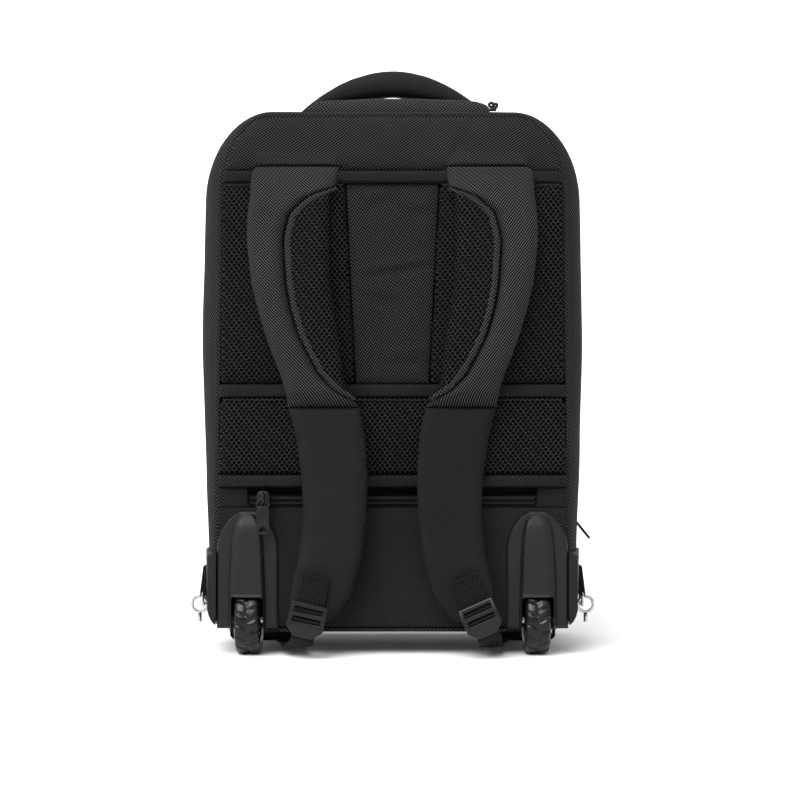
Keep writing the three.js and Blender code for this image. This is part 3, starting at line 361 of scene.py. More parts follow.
def tube(name, path, radius, sides=12, closed=False):
    """A round wire along a path of points."""
    path = [Vector(p) for p in path]
    count = len(path)
    rings = []
    side = None
    for i, here in enumerate(path):
        before = path[i - 1] if closed or i > 0 else here
        after = path[(i + 1) % count] if closed or i < count - 1 else here
        along = (after - before).normalized()
        if side is None:
            side = along.orthogonal().normalized()
        side = (side - along * side.dot(along)).normalized()
        up = along.cross(side)
        size = radius(i / max(count - 1, 1)) if callable(radius) else radius
        turns = [k / sides * math.tau for k in range(sides)]
        rings.append([here + side * math.cos(t) * size + up * math.sin(t) * size for t in turns])
    if closed:
        return loft_closed(name, rings)
    return loft(name, rings)


def loft_closed(name, rings):
    count = len(rings[0])
    faces = grid_faces(len(rings), count, closed=True)
    last = (len(rings) - 1) * count
    shift = min(range(count), key=lambda s: (Vector(rings[-1][0]) - Vector(rings[0][s])).length)
    for c in range(count):
        d = (c + 1) % count
        faces.append((last + c, last + d, (d + shift) % count, (c + shift) % count))
    return mesh_piece(name, [p for ring in rings for p in ring], faces)


def through(points, steps, closed=False):
    """Points on a smooth curve through a few."""
    points = [Vector(p) for p in points]
    count = len(points)
    spans = count if closed else count - 1
    curve = []
    for i in range(spans):
        a, b = points[i], points[(i + 1) % count]
        before = points[i - 1] if closed or i > 0 else a - (b - a)
        after = points[(i + 2) % count] if closed or i + 2 < count else b + (b - a)
        for k in range(steps):
            t = k / steps
            curve.append(
                0.5
                * (
                    2 * a
                    + (b - before) * t
                    + (2 * before - 5 * a + 4 * b - after) * t * t
                    + (3 * a - before - 3 * b + after) * t * t * t
                )
            )
    if not closed:
        curve.append(points[-1])
    return curve


def join_pieces(name, pieces):
    """One object from several, which are used up."""
    work = bmesh.new()
    for piece in pieces:
        work.from_mesh(piece.data)
        used_up(piece)
    return linked(name, filled_mesh(name, work))


def beads(name, frames, size):
    """Many small rounded blocks as one mesh, one at each (centre, along, across, out)."""
    length, width, height = size
    points = []
    faces = []
    rows = ((-1.0, 0.0, 0.78), (-0.55, 0.8, 1.0), (0.55, 0.8, 1.0), (1.0, 0.0, 0.78))
    for centre, along, across, out in frames:
        start = len(points)
        for a, up, wide in rows:
            for side in (-1, 1):
                points.append(centre + along * a * length / 2 + across * side * wide * width / 2)
                top = centre + along * a * length * 0.42 + across * side * wide * width * 0.36
                points.append(top + out * height * (0.25 + up * 0.75))
        for r in range(3):
            n = start + r * 4
            faces.append((n, n + 1, n + 5, n + 4))
            faces.append((n + 1, n + 3, n + 7, n + 5))
            faces.append((n + 3, n + 2, n + 6, n + 7))
            faces.append((n + 2, n, n + 4, n + 6))
        faces.append((start, start + 2, start + 3, start + 1))
        n = start + 12
        faces.append((n, n + 1, n + 3, n + 2))
    return mesh_piece(name, points, faces)


def along_path(path, pitch, closed=False):
    """(place, direction) every pitch along a path."""
    path = [Vector(p) for p in path]
    if closed:
        path = path + [path[0]]
    found = []
    left = pitch / 2
    for a, b in zip(path, path[1:]):
        length = (b - a).length
        if length < 1e-9:
            continue
        step = (b - a) / length
        at = left
        while at < length:
            found.append((a + step * at, step))
            at += pitch
        left = at - length
    return found


def softened(name, node, width, segments=2, angle=28):
    """A copy of a hard solid with rounded edges."""
    work = bmesh.new()
    work.from_mesh(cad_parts[node].data)
    bmesh.ops.remove_doubles(work, verts=work.verts, dist=1e-6)
    bmesh.ops.dissolve_limit(work, angle_limit=math.radians(1.5), verts=work.verts, edges=work.edges)
    return rounded(linked(name, filled_mesh(name, work)), width, segments, angle)


def rounded(piece, width, segments=3, angle=30):
    """The same piece with its sharp edges rounded."""
    bevel = piece.modifiers.new("rounding", "BEVEL")
    bevel.width = width
    bevel.segments = segments
    bevel.limit_method = "ANGLE"
    bevel.angle_limit = math.radians(angle)
    bake_modifiers(piece)
    return piece


def bake_modifiers(piece):
    """Puts the result of a piece's modifiers into its mesh."""
    bpy.context.view_layer.update()
    graph = bpy.context.evaluated_depsgraph_get()
    mesh = bpy.data.meshes.new_from_object(piece.evaluated_get(graph))
    old = piece.data
    piece.modifiers.clear()
    piece.data = mesh
    bpy.data.meshes.remove(old)
    mesh.name = piece.name


def cut_with(piece, cutter):
    cut = piece.modifiers.new("cut", "BOOLEAN")
    cut.operation = "DIFFERENCE"
    cut.solver = "EXACT"
    cut.object = cutter
    bake_modifiers(piece)
    used_up(cutter)


def inflate(piece, held, voxel=0.004, frames=20, pressure=4.0, reach=0.0032):
    """Fills a padded piece by a short cloth simulation with pressure inside, and keeps its result.

    held gives how firmly a place is sewn down, from 0 to 1, and reach is the furthest that a place may move.
    """
    even = piece.modifiers.new("even mesh", "REMESH")
    even.mode = "VOXEL"
    even.voxel_size = voxel
    bake_modifiers(piece)
    mesh = piece.data
    start = [vertex.co.copy() for vertex in mesh.vertices]
    group = piece.vertex_groups.new(name="held")
    for i, place in enumerate(start):
        group.add([i], clamp(held(place)), "REPLACE")
    filling = piece.modifiers.new("filling", "CLOTH")
    settings = filling.settings
    settings.quality = 5
    settings.mass = 0.3
    settings.tension_stiffness = 12.0
    settings.compression_stiffness = 12.0
    settings.bending_stiffness = 0.4
    settings.use_pressure = True
    settings.uniform_pressure_force = pressure
    settings.vertex_group_mass = "held"
    settings.effector_weights.gravity = 0.0
    filling.collision_settings.use_collision = False
    filling.point_cache.frame_start = 1
    filling.point_cache.frame_end = frames
    scene = bpy.context.scene
    for frame_number in range(1, frames + 1):
        scene.frame_set(frame_number)
    graph = bpy.context.evaluated_depsgraph_get()
    filled = piece.evaluated_get(graph)
    ends = [vertex.co.copy() for vertex in filled.data.vertices]
    piece.modifiers.clear()
    for vertex, before, after in zip(mesh.vertices, start, ends):
        shift = after - before
        if shift.length > reach:
            shift *= reach / shift.length
        vertex.co = before + shift
    scene.frame_set(1)
    finer = piece.modifiers.new("finer", "SUBSURF")
    finer.levels = 1
    finer.render_levels = 1
    bake_modifiers(piece)
    piece.vertex_groups.clear()


def weave_places(mesh):
    """A UV layer in metres that lays the weave flat on whichever side a face looks to."""
    layer = mesh.uv_layers.get("weave") or mesh.uv_layers.new(name="weave")
    for face in mesh.polygons:
        x, y, z = (abs(n) for n in face.normal)
        for loop in face.loop_indices:
            p = mesh.vertices[mesh.loops[loop].vertex_index].co
            if y >= x and y >= z:
                layer.data[loop].uv = (p.x, p.z)
            elif x >= z:
                layer.data[loop].uv = (p.y, p.z)
            else:
                layer.data[loop].uv = (p.x, p.y)


def lay_weave(mesh, flat):
    """The weave's UV layer from a function of each vertex's number and place."""
    layer = mesh.uv_layers.get("weave") or mesh.uv_layers.new(name="weave")
    for loop in mesh.loops:
        i = loop.vertex_index
        layer.data[loop.index].uv = flat(i, mesh.vertices[i].co)


def finish_piece(piece, look, nodes=(), slot="cloth", body="bag", hard=40, fill=None, flat=None):
    """Gives a piece its shading, material and body, and hides the solids that it stands for. Its slot is not used.
    """
    mesh = piece.data
    mesh.materials.clear()
    mesh.materials.append(material(look))
    for face in mesh.polygons:
        face.use_smooth = True
        face.material_index = 0
    mesh.set_sharp_from_angle(angle=math.radians(hard))
    if flat:
        lay_weave(mesh, flat)
    else:
        weave_places(mesh)
    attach(piece, body)
    if nodes:
        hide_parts(*nodes)
    return piece


def hard_piece(name, node, look, slot, rounding, **finish):
    """One solid's softened copy, finished. rounding is (width, segments) or (width, segments, angle)."""
    finish_piece(softened(name, node, *rounding), look, [node], slot, **finish)


# Materials


def feed(tree, made, inputs):
    """Links or sets a node's inputs."""
    for key, value in inputs.items():
        if isinstance(value, bpy.types.NodeSocket):
            tree.links.new(value, made.inputs[key])
        else:
            made.inputs[key].default_value = value


def add_node(tree, kind, inputs=None, **settings):
    made = tree.nodes.new(kind)
    for name, value in settings.items():
        setattr(made, name, value)
    feed(tree, made, inputs or {})
    return made


def maths(tree, operation, *values):
    return add_node(tree, "ShaderNodeMath", dict(enumerate(values)), operation=operation).outputs[0]


def vector_maths(tree, operation, *values):
    made = add_node(tree, "ShaderNodeVectorMath", dict(enumerate(values)), operation=operation)
    return made.outputs["Value"] if operation == "LENGTH" else made.outputs["Vector"]


def new_group(name, inputs, outputs):
    group = bpy.data.node_groups.new(name, "ShaderNodeTree")
    for label, kind, value in inputs:
        socket = group.interface.new_socket(name=label, in_out="INPUT", socket_type=kind)
        if value is not None:
            socket.default_value = value
    for label, kind in outputs:
        group.interface.new_socket(name=label, in_out="OUTPUT", socket_type=kind)
    start = group.nodes.new("NodeGroupInput")
    end = group.nodes.new("NodeGroupOutput")
    return group, start.outputs, end.inputs


def split_place(tree, place):
    parts = add_node(tree, "ShaderNodeSeparateXYZ", {0: place})
    return parts.outputs[0], parts.outputs[1]


def blend(tree, first, share, second, other_share):
    """Two values, each times its share, added."""
    scaled = maths(tree, "MULTIPLY", first, share)
    return maths(tree, "ADD", scaled, maths(tree, "MULTIPLY", second, other_share))


def wave(tree, value, pitch):
    """A wave from 0 to 1 that repeats every pitch."""
    turns = maths(tree, "DIVIDE", value, pitch)
    swing = maths(tree, "SINE", maths(tree, "MULTIPLY", turns, math.tau))
    return maths(tree, "MULTIPLY_ADD", swing, 0.5, 0.5)


def twill_group():
    """Diagonal ribs broken into threads."""
    group, given, result = new_group(
        "twill weave",
        [
            ("Place", "NodeSocketVector", None),
            ("Rib pitch", "NodeSocketFloat", 0.0019),
            ("Lean", "NodeSocketFloat", 1.0),
            ("Break", "NodeSocketFloat", 0.35),
        ],
        [("Height", "NodeSocketFloat"), ("Rib shade", "NodeSocketFloat")],
    )
    u, v = split_place(group, given["Place"])
    lean = given["Lean"]
    spread = maths(group, "SQRT", maths(group, "MULTIPLY_ADD", lean, lean, 1.0))
    pitch = maths(group, "MULTIPLY", given["Rib pitch"], spread)
    leaning = maths(group, "MULTIPLY_ADD", u, lean, v)
    crossing = maths(group, "SUBTRACT", u, maths(group, "MULTIPLY", v, lean))
    ribs = wave(group, leaning, pitch)
    threads = wave(group, crossing, maths(group, "MULTIPLY", pitch, 1.3))
    whole = maths(group, "SUBTRACT", 1.0, given["Break"])
    broken = maths(group, "MULTIPLY_ADD", threads, given["Break"], whole)
    height = maths(group, "MULTIPLY", ribs, broken)
    group.links.new(height, result["Height"])
    # Rib shade: the ribs' height cubed, which the materials use as colour, a painted shade in the grooves and a
    # painted highlight on the ribs' tops
    group.links.new(maths(group, "POWER", height, 3.0), result["Rib shade"])
    return group


def spacer_group():
    """Round holes in offset rows, as in spacer mesh."""
    group, given, result = new_group(
        "spacer mesh",
        [
            ("Place", "NodeSocketVector", None),
            ("Pitch", "NodeSocketFloat", 0.004),
            ("Hole", "NodeSocketFloat", 0.3),
        ],
        [("Height", "NodeSocketFloat"), ("Hole", "NodeSocketFloat")],
    )
    tall = maths(group, "MULTIPLY", given["Pitch"], MESH_STRETCH)
    across = add_node(group, "ShaderNodeCombineXYZ", {0: given["Pitch"], 1: tall, 2: 1.0})
    cells = vector_maths(group, "DIVIDE", given["Place"], across.outputs[0])
    stretch = (1.0, MESH_STRETCH, 0.0)
    reaches = []
    for shift in ((0.0, 0.0, 0.0), (0.5, 0.5, 0.0)):
        cell = vector_maths(group, "FRACTION", vector_maths(group, "ADD", cells, shift))
        centred = vector_maths(group, "SUBTRACT", cell, (0.5, 0.5, 0.0))
        reaches.append(vector_maths(group, "LENGTH", vector_maths(group, "MULTIPLY", centred, stretch)))
    reach = maths(group, "MINIMUM", *reaches)
    limits = {
        "Value": reach,
        "From Min": maths(group, "MULTIPLY", given["Hole"], 0.8),
        "From Max": maths(group, "MULTIPLY", given["Hole"], 1.2),
    }
    rim = add_node(group, "ShaderNodeMapRange", limits, interpolation_type="SMOOTHSTEP")
    group.links.new(rim.outputs[0], result["Height"])
    group.links.new(maths(group, "SUBTRACT", 1.0, rim.outputs[0]), result["Hole"])
    return group


def rib_group():
    """Ribs along a webbing, swung to and fro as in a herringbone."""
    group, given, result = new_group(
        "woven ribs",
        [
            ("Place", "NodeSocketVector", None),
            ("Rib pitch", "NodeSocketFloat", 0.0014),
            ("Zigzag", "NodeSocketFloat", 0.004),
        ],
        [("Height", "NodeSocketFloat")],
    )
    u, v = split_place(group, given["Place"])
    fold = maths(group, "PINGPONG", v, given["Zigzag"])
    ribs = wave(group, maths(group, "MULTIPLY_ADD", fold, 0.32, u), given["Rib pitch"])
    threads = wave(group, v, maths(group, "MULTIPLY", given["Rib pitch"], 1.15))
    group.links.new(blend(group, ribs, 0.72, threads, 0.28), result["Height"])
    return group


def life_group():
    """Slow unevenness of tone: handling, light fading and a trace of dust."""
    group, given, result = new_group(
        "tone",
        [
            ("Place", "NodeSocketVector", None),
            ("Amount", "NodeSocketFloat", 0.12),
            ("Size", "NodeSocketFloat", 18.0),
        ],
        [("Tone", "NodeSocketFloat"), ("Patch", "NodeSocketFloat")],
    )
    inputs = {"Vector": given["Place"], "Scale": given["Size"], "Detail": 3.0}
    slow = add_node(group, "ShaderNodeTexNoise", inputs)
    fine = add_node(
        group,
        "ShaderNodeTexNoise",
        {"Vector": given["Place"], "Scale": maths(group, "MULTIPLY", given["Size"], 14.0), "Detail": 2.0},
    )
    both = blend(group, slow.outputs[0], 0.65, fine.outputs[0], 0.35)
    amount = maths(group, "MULTIPLY", given["Amount"], 2.0)
    swing = maths(group, "MULTIPLY", maths(group, "SUBTRACT", both, 0.5), amount)
    group.links.new(maths(group, "ADD", swing, 1.0), result["Tone"])
    group.links.new(slow.outputs[0], result["Patch"])
    return group


def grain_group():
    """Fine moulded grain."""
    group, given, result = new_group(
        "moulded grain",
        [("Place", "NodeSocketVector", None), ("Size", "NodeSocketFloat", 1400.0)],
        [("Height", "NodeSocketFloat")],
    )
    spread = {"Vector": given["Place"], "Scale": given["Size"]}
    cells = add_node(group, "ShaderNodeTexVoronoi", spread)
    cloud = add_node(group, "ShaderNodeTexNoise", {**spread, "Detail": 2.0})
    group.links.new(blend(group, cells.outputs["Distance"], 0.6, cloud.outputs[0], 0.4), result["Height"])
    return group


GROUP_MAKERS = {
    "twill weave": twill_group,
    "spacer mesh": spacer_group,
    "woven ribs": rib_group,
    "tone": life_group,
    "moulded grain": grain_group,
}


def use_group(tree, name, inputs):
    group = bpy.data.node_groups.get(name) or GROUP_MAKERS[name]()
    return add_node(tree, "ShaderNodeGroup", inputs, node_tree=group).outputs


def tinted(tree, colour, factor):
    """A plain colour times a factor that varies over the surface."""
    made = add_node(tree, "ShaderNodeVectorMath", {0: colour[:3]}, operation="SCALE")
    tree.links.new(factor, made.inputs["Scale"])
    return made.outputs[0]


def start_material(name, roughness, **uniform):
    made = bpy.data.materials.new(name)
    made.use_nodes = True
    tree = made.node_tree
    shader = tree.nodes["Principled BSDF"]
    shader.inputs["Roughness"].default_value = roughness
    for key, value in uniform.items():
        shader.inputs[key.replace("_", " ")].default_value = value
    places = tree.nodes.new("ShaderNodeTexCoord")
    return made, tree, shader, places.outputs["UV"], places.outputs["Object"]


def bump(tree, shader, height, distance):
    made = add_node(tree, "ShaderNodeBump", {"Height": height, "Distance": distance, "Strength": 1.0})
    tree.links.new(made.outputs[0], shader.inputs["Normal"])


def cloth_material(name, colour, pitch, lean, relief=0.0004):
    made, tree, shader, flat, place = start_material(
        name, 0.8, Sheen_Weight=0.004, Sheen_Roughness=0.5, Specular_IOR_Level=0.05
    )
    weave = use_group(tree, "twill weave", {"Place": flat, "Rib pitch": pitch, "Lean": lean})
    tone = use_group(tree, "tone", {"Place": place, "Amount": 0.3, "Size": 16.0})
    # Base colour from the weave's Rib shade: painted shade in its grooves and painted highlight on its ribs, times
    # the random tone
    factor = maths(tree, "MULTIPLY", maths(tree, "MULTIPLY_ADD", weave["Rib shade"], 4.4, 0.02), tone["Tone"])
    tree.links.new(tinted(tree, colour, factor), shader.inputs["Base Color"])
    tree.links.new(maths(tree, "MULTIPLY_ADD", weave["Height"], -0.25, 0.85), shader.inputs["Roughness"])
    bump(tree, shader, weave["Height"], relief)
    return made


def mesh_material(name, colour, pitch):
    made, tree, shader, flat, place = start_material(
        name, 0.75, Sheen_Weight=0.003, Sheen_Roughness=0.5, Specular_IOR_Level=0.04
    )
    holes = use_group(tree, "spacer mesh", {"Place": flat, "Pitch": pitch, "Hole": 0.3})
    tone = use_group(tree, "tone", {"Place": place, "Amount": 0.25, "Size": 20.0})
    threads = use_group(tree, "twill weave", {"Place": flat, "Rib pitch": pitch * 0.46, "Lean": 0.35})
    # Colour falls to black in the holes: painted shade inside the mesh's holes
    factor = maths(tree, "MULTIPLY", maths(tree, "MULTIPLY_ADD", holes["Height"], 1.9, 0.0), tone["Tone"])
    # The mesh threads' Rib shade darkens the colour between the threads: painted shade
    factor = maths(tree, "MULTIPLY", factor, maths(tree, "MULTIPLY_ADD", threads["Rib shade"], 2.6, 0.45))
    tree.links.new(tinted(tree, colour, factor), shader.inputs["Base Color"])
    height = maths(tree, "ADD", holes["Height"], maths(tree, "MULTIPLY", threads["Height"], 0.2))
    bump(tree, shader, height, 0.0012)
    return made


def ribbed_material(name, colour, pitch, zigzag, relief, roughness):
    made, tree, shader, flat, place = start_material(
        name, roughness, Sheen_Weight=0.004, Sheen_Roughness=0.5, Specular_IOR_Level=0.06
    )
    ribs = use_group(tree, "woven ribs", {"Place": flat, "Rib pitch": pitch, "Zigzag": zigzag})
    tone = use_group(tree, "tone", {"Place": place, "Amount": 0.25, "Size": 30.0})
    # Colour from the ribs' height: painted shade between the ribs and painted highlight on their tops
    thread = maths(tree, "POWER", ribs["Height"], 2.5)
    factor = maths(tree, "MULTIPLY", maths(tree, "MULTIPLY_ADD", thread, 3.2, 0.06), tone["Tone"])
    tree.links.new(tinted(tree, colour, factor), shader.inputs["Base Color"])
    bump(tree, shader, ribs["Height"], relief)
    return made


def moulded_material(name, colour, roughness, relief, shine=0.25, size=1400.0, amount=0.1):
    made, tree, shader, _, place = start_material(name, roughness, Specular_IOR_Level=shine)
    grain = use_group(tree, "moulded grain", {"Place": place, "Size": size})
    tone = use_group(tree, "tone", {"Place": place, "Amount": amount, "Size": 24.0})
    tree.links.new(tinted(tree, colour, tone["Tone"]), shader.inputs["Base Color"])
    uneven = maths(tree, "MULTIPLY_ADD", tone["Patch"], 0.16, roughness - 0.08)
    tree.links.new(uneven, shader.inputs["Roughness"])
    bump(tree, shader, grain["Height"], relief)
    return made


def metal_material(name, colour, roughness):
    made, tree, shader, _, place = start_material(name, roughness, Metallic=1.0)
    tone = use_group(tree, "tone", {"Place": place, "Amount": 0.12, "Size": 120.0})
    tree.links.new(tinted(tree, colour, tone["Tone"]), shader.inputs["Base Color"])
    uneven = maths(tree, "MULTIPLY_ADD", tone["Patch"], 0.2, roughness - 0.1)
    tree.links.new(uneven, shader.inputs["Roughness"])
    grain = use_group(tree, "moulded grain", {"Place": place, "Size": 900.0})
    bump(tree, shader, grain["Height"], 0.00004)
    return made


def floor_material(name, colour):
    made, tree, shader, _, place = start_material(name, 0.9, Specular_IOR_Level=0.1)
    tone = use_group(tree, "tone", {"Place": place, "Amount": 0.01, "Size": 2.0})
    tree.links.new(tinted(tree, colour, tone["Tone"]), shader.inputs["Base Color"])
    return made


def material(look):
    """The material of a look, made when it is first asked for."""
    name = f"bag {look}"
    made = bpy.data.materials.get(name)
    if made:
        return made
    sizes = bpy.context.scene.backpack_sizes
    colours = bpy.context.scene.backpack_colours
    pitch = sizes.twill_pitch
    makers = {
        "yoke twill": lambda: cloth_material(name, colours.cloth, pitch, -0.7),
        "panel twill": lambda: cloth_material(name, colours.panel, pitch * 0.92, -1.5),
        "side twill": lambda: cloth_material(name, colours.cloth, pitch * 1.1, -1.0),
        "left strap twill": lambda: cloth_material(name, colours.strap, pitch, 1.0),
        "right strap twill": lambda: cloth_material(name, colours.strap, pitch, -1.4),
        "left tail twill": lambda: cloth_material(name, colours.tail, pitch * 0.66, 1.0),
        "right tail twill": lambda: cloth_material(name, colours.tail, pitch * 0.66, -1.4),
        "cover twill": lambda: cloth_material(name, colours.cover, pitch, -0.7),
        "handle cloth": lambda: cloth_material(name, colours.handle, pitch * 0.5, 0.6, 0.0001),
        "channel twill": lambda: cloth_material(name, colours.channel, pitch, -1.55),
        "spacer mesh": lambda: mesh_material(name, colours.mesh, sizes.mesh_pitch),
        "binding tape": lambda: cloth_material(name, colours.tape, pitch * 0.95, -1.1),
        "webbing": lambda: ribbed_material(name, colours.webbing, 0.0023, 0.0042, 0.0004, 0.62),
        "painted zinc": lambda: moulded_material(name, colours.slider, 0.34, 0.00002, 0.26),
        "zip tape": lambda: ribbed_material(name, colours.zip_tape, 0.0014, 0.6, 0.0002, 0.7),
        "zip coil": lambda: moulded_material(name, colours.coil, 0.35, 0.00002),
        "housing plastic": lambda: moulded_material(name, colours.housing, 0.5, 0.00004, 0.22),
        "guard plastic": lambda: moulded_material(name, colours.guard, 0.5, 0.00004, 0.09),
        "buckle plastic": lambda: moulded_material(name, colours.buckle, 0.32, 0.00003, 0.26),
        "tyre rubber": lambda: moulded_material(name, colours.tyre, 0.3, 0.00005, 0.3, 900.0, 0.2),
        "hub plastic": lambda: moulded_material(name, colours.hub, 0.45, 0.00003),
        "nickel": lambda: metal_material(name, colours.nickel, 0.2),
        "thread": lambda: ribbed_material(name, colours.thread, 0.0005, 0.6, 0.00008, 0.6),
        "studio floor": lambda: floor_material(name, colours.floor),
    }
    return makers[look]()


def colour_property(name, value, description):
    return bpy.props.FloatVectorProperty(
        name=name, description=description, default=value, size=3, min=0.0, max=1.0, subtype="COLOR"
    )


def length_property(name, value, description):
    return bpy.props.FloatProperty(
        name=name, description=description, default=value, min=0.0001, max=0.1, precision=5,
        subtype="DISTANCE", unit="LENGTH",
    )


class BackpackColours(bpy.types.PropertyGroup):
    """Colours of the bag's finishes; some are lightened or darkened as painted light and shade."""

    cloth: colour_property("Cloth", (0.0182, 0.0185, 0.0196), "Twill of the yoke, sides and front")
    strap: colour_property("Strap cloth", (0.0235, 0.0239, 0.0254), "Twill of the shoulder straps")
    # Darker than the strap cloth: painted shade on the straps' lower parts, which the light from above reaches
    # less
    tail: colour_property("Strap tail cloth", (0.0128, 0.013, 0.0138), "Fine twill of the straps' lower parts")
    # Lighter than the yoke's cloth of the same weave: painted light on the cover, which faces up to the light
    cover: colour_property("Cover cloth", (0.029, 0.0295, 0.031), "Twill of the cover under the handle")
    handle: colour_property("Handle cloth", (0.0165, 0.0168, 0.0178), "Cloth of the grab handle")
    channel: colour_property("Channel cloth", (0.0165, 0.0168, 0.018), "Twill between the back pads")
    # Darker than the yoke's cloth: painted shade on the lower back under the zip
    panel: colour_property("Panel cloth", (0.0122, 0.0125, 0.0133), "Twill under the back zip")
    mesh: colour_property("Mesh", (0.0078, 0.0079, 0.0083), "Spacer mesh of the pads")
    tape: colour_property("Tape", (0.0125, 0.0127, 0.0134), "Binding tapes across the back")
    webbing: colour_property("Webbing", (0.0064, 0.0065, 0.0069), "Webbing of tabs, loops and lower straps")
    # Near black, far darker than the cloth: painted shade of the back zip's slot under the lower tape, used on the
    # main zip too
    zip_tape: colour_property("Zip tape", (0.0008, 0.0008, 0.0009), "Woven tape of the zips")
    coil: colour_property("Zip coil", (0.014, 0.014, 0.0148), "Teeth of the zips")
    housing: colour_property("Housing", (0.0072, 0.0073, 0.0077), "Moulded wheel housings")
    guard: colour_property("Guard", (0.0118, 0.0119, 0.0124), "Corner guards and feet")
    buckle: colour_property("Buckle", (0.0052, 0.0053, 0.0056), "Ladder-lock buckles")
    tyre: colour_property("Tyre", (0.002, 0.002, 0.0022), "Rubber of the wheels")
    hub: colour_property("Hub", (0.012, 0.0122, 0.013), "Wheel hubs")
    slider: colour_property("Slider", (0.0035, 0.0035, 0.0038), "Zip sliders and pulls")
    nickel: colour_property("Nickel", (0.5, 0.5, 0.51), "Rings, hooks and axles")
    thread: colour_property("Rib shade", (0.022, 0.022, 0.023), "Stitching")
    floor: colour_property("Floor", (0.86, 0.86, 0.86), "Studio floor")


class BackpackSizes(bpy.types.PropertyGroup):
    """Sizes of the bag's fine detail."""

    twill_pitch: length_property("Twill pitch", 0.00195, "Distance between two ribs of the twill")
    mesh_pitch: length_property("Mesh pitch", 0.0045, "Distance between two holes of the spacer mesh")
    stitch_pitch: length_property("Stitch pitch", 0.0034, "Distance between two stitches")
    tooth_pitch: length_property("Tooth pitch", 0.0014, "Distance between two zip teeth")
    fold_depth: length_property("Fold depth", 0.0011, "Depth of the cloth's soft unevenness")
    tread_blocks: bpy.props.IntProperty(
        name="Tread blocks", description="Blocks round each tyre", default=17, min=6, max=40
    )


def stitches(name, path, out):
    """A row of stitches along a path. out is the direction that they stand out to."""
    pitch = bpy.context.scene.backpack_sizes.stitch_pitch
    out = Vector(out)
    frames = []
    for place, along in along_path(path, pitch):
        across = along.cross(out).normalized()
        frames.append((place, along, across, out))
    return beads(name, frames, (pitch * 0.72, 0.0007, 0.00035))


def zigzag(z, left, right):
    """A row of slanting stitches along the top of a pad."""
    out = Vector((0, -1, 0))
    step = 0.0022
    frames = []
    for i in range(int((right - left) / step)):
        lean = 1 if i % 2 else -1
        along = Vector((step, 0, lean * 0.0024)).normalized()
        frames.append((Vector((left + (i + 0.5) * step, SEAM_Y - 0.0078, z)), along, along.cross(out), out))
    return beads("zigzag", frames, (0.0034, 0.0009, 0.0006))


def coil(name, path, out, pitch, closed=False, half=0.0016):
    """Two rows of zip teeth along a path. out is the direction they face, or a function of the place."""
    frames = []
    for i, (place, along) in enumerate(along_path(path, pitch / 2, closed)):
        facing = out(place) if callable(out) else Vector(out)
        across = along.cross(facing).normalized()
        side = 1 if i % 2 else -1
        frames.append((place + across * side * half * 0.55, across, along, facing))
    return beads(name, frames, (half * 1.5, pitch * 0.62, 0.0011))


# The bag's pieces


def wheel_arch(x, radius, steps):
    """A closed ring over a wheel at x, open downwards to below the floor."""
    turns = [a / steps * math.pi for a in range(steps + 1)]
    ring = [(x, WHEEL_Y + radius * math.cos(t), WHEEL_Z + radius * math.sin(t)) for t in turns]
    return ring + [(x, WHEEL_Y - radius, -0.02), (x, WHEEL_Y + radius, -0.02)]


def well_cutter(side):
    """The room that a wheel's well takes out of the cloth."""
    half = 0.0173
    return loft("well_cutter", [wheel_arch(side * WHEEL_X + x, 0.037, 24) for x in (-half, half)])


def body_dent(x, y, z):
    depth = bpy.context.scene.backpack_sizes.fold_depth
    return depth * (ripple(x, y, z, 0.09, 3.1) * 0.8 + ripple(x, y, z, 0.035, 7.7) * 0.3)


def outward(place):
    """The direction away from the body's outline at a place, in the plane of the outline."""
    x, z = place.x, place.z
    if z < BODY_FOOT + FOOT_RADIUS:
        dx = max(abs(x) - BODY_HALF + FOOT_RADIUS, 0.0)
        return Vector((math.copysign(dx, x), 0, z - BODY_FOOT - FOOT_RADIUS)).normalized()
    if z < CORNER_Z:
        return Vector((math.copysign(1, x), 0, 0))
    dx = max(abs(x) - CORNER_X, 0.0) / (BODY_HALF - CORNER_X)
    dz = max(z - CORNER_Z, 0.0) / (BODY_TOP - CORNER_Z)
    return Vector((math.copysign(dx, x), 0, dz)).normalized()


# How far the widest line stands out from the seams
SIDE_SWELL = BODY_HALF - SEAM_HALF - RIM


def unrolled_lengths():
    """Rows of a depth and the cloth's length from the back seam to it, over the swell of the side wall."""
    rows = [(0.0, 0.0)]
    steps = 60
    for i in range(steps):
        a, b = BODY_DEPTH * i / steps, BODY_DEPTH * (i + 1) / steps
        rise = SIDE_SWELL * (swell_at(b) - swell_at(a))
        rows.append((b, rows[-1][1] + math.hypot(b - a, rise)))
    return rows


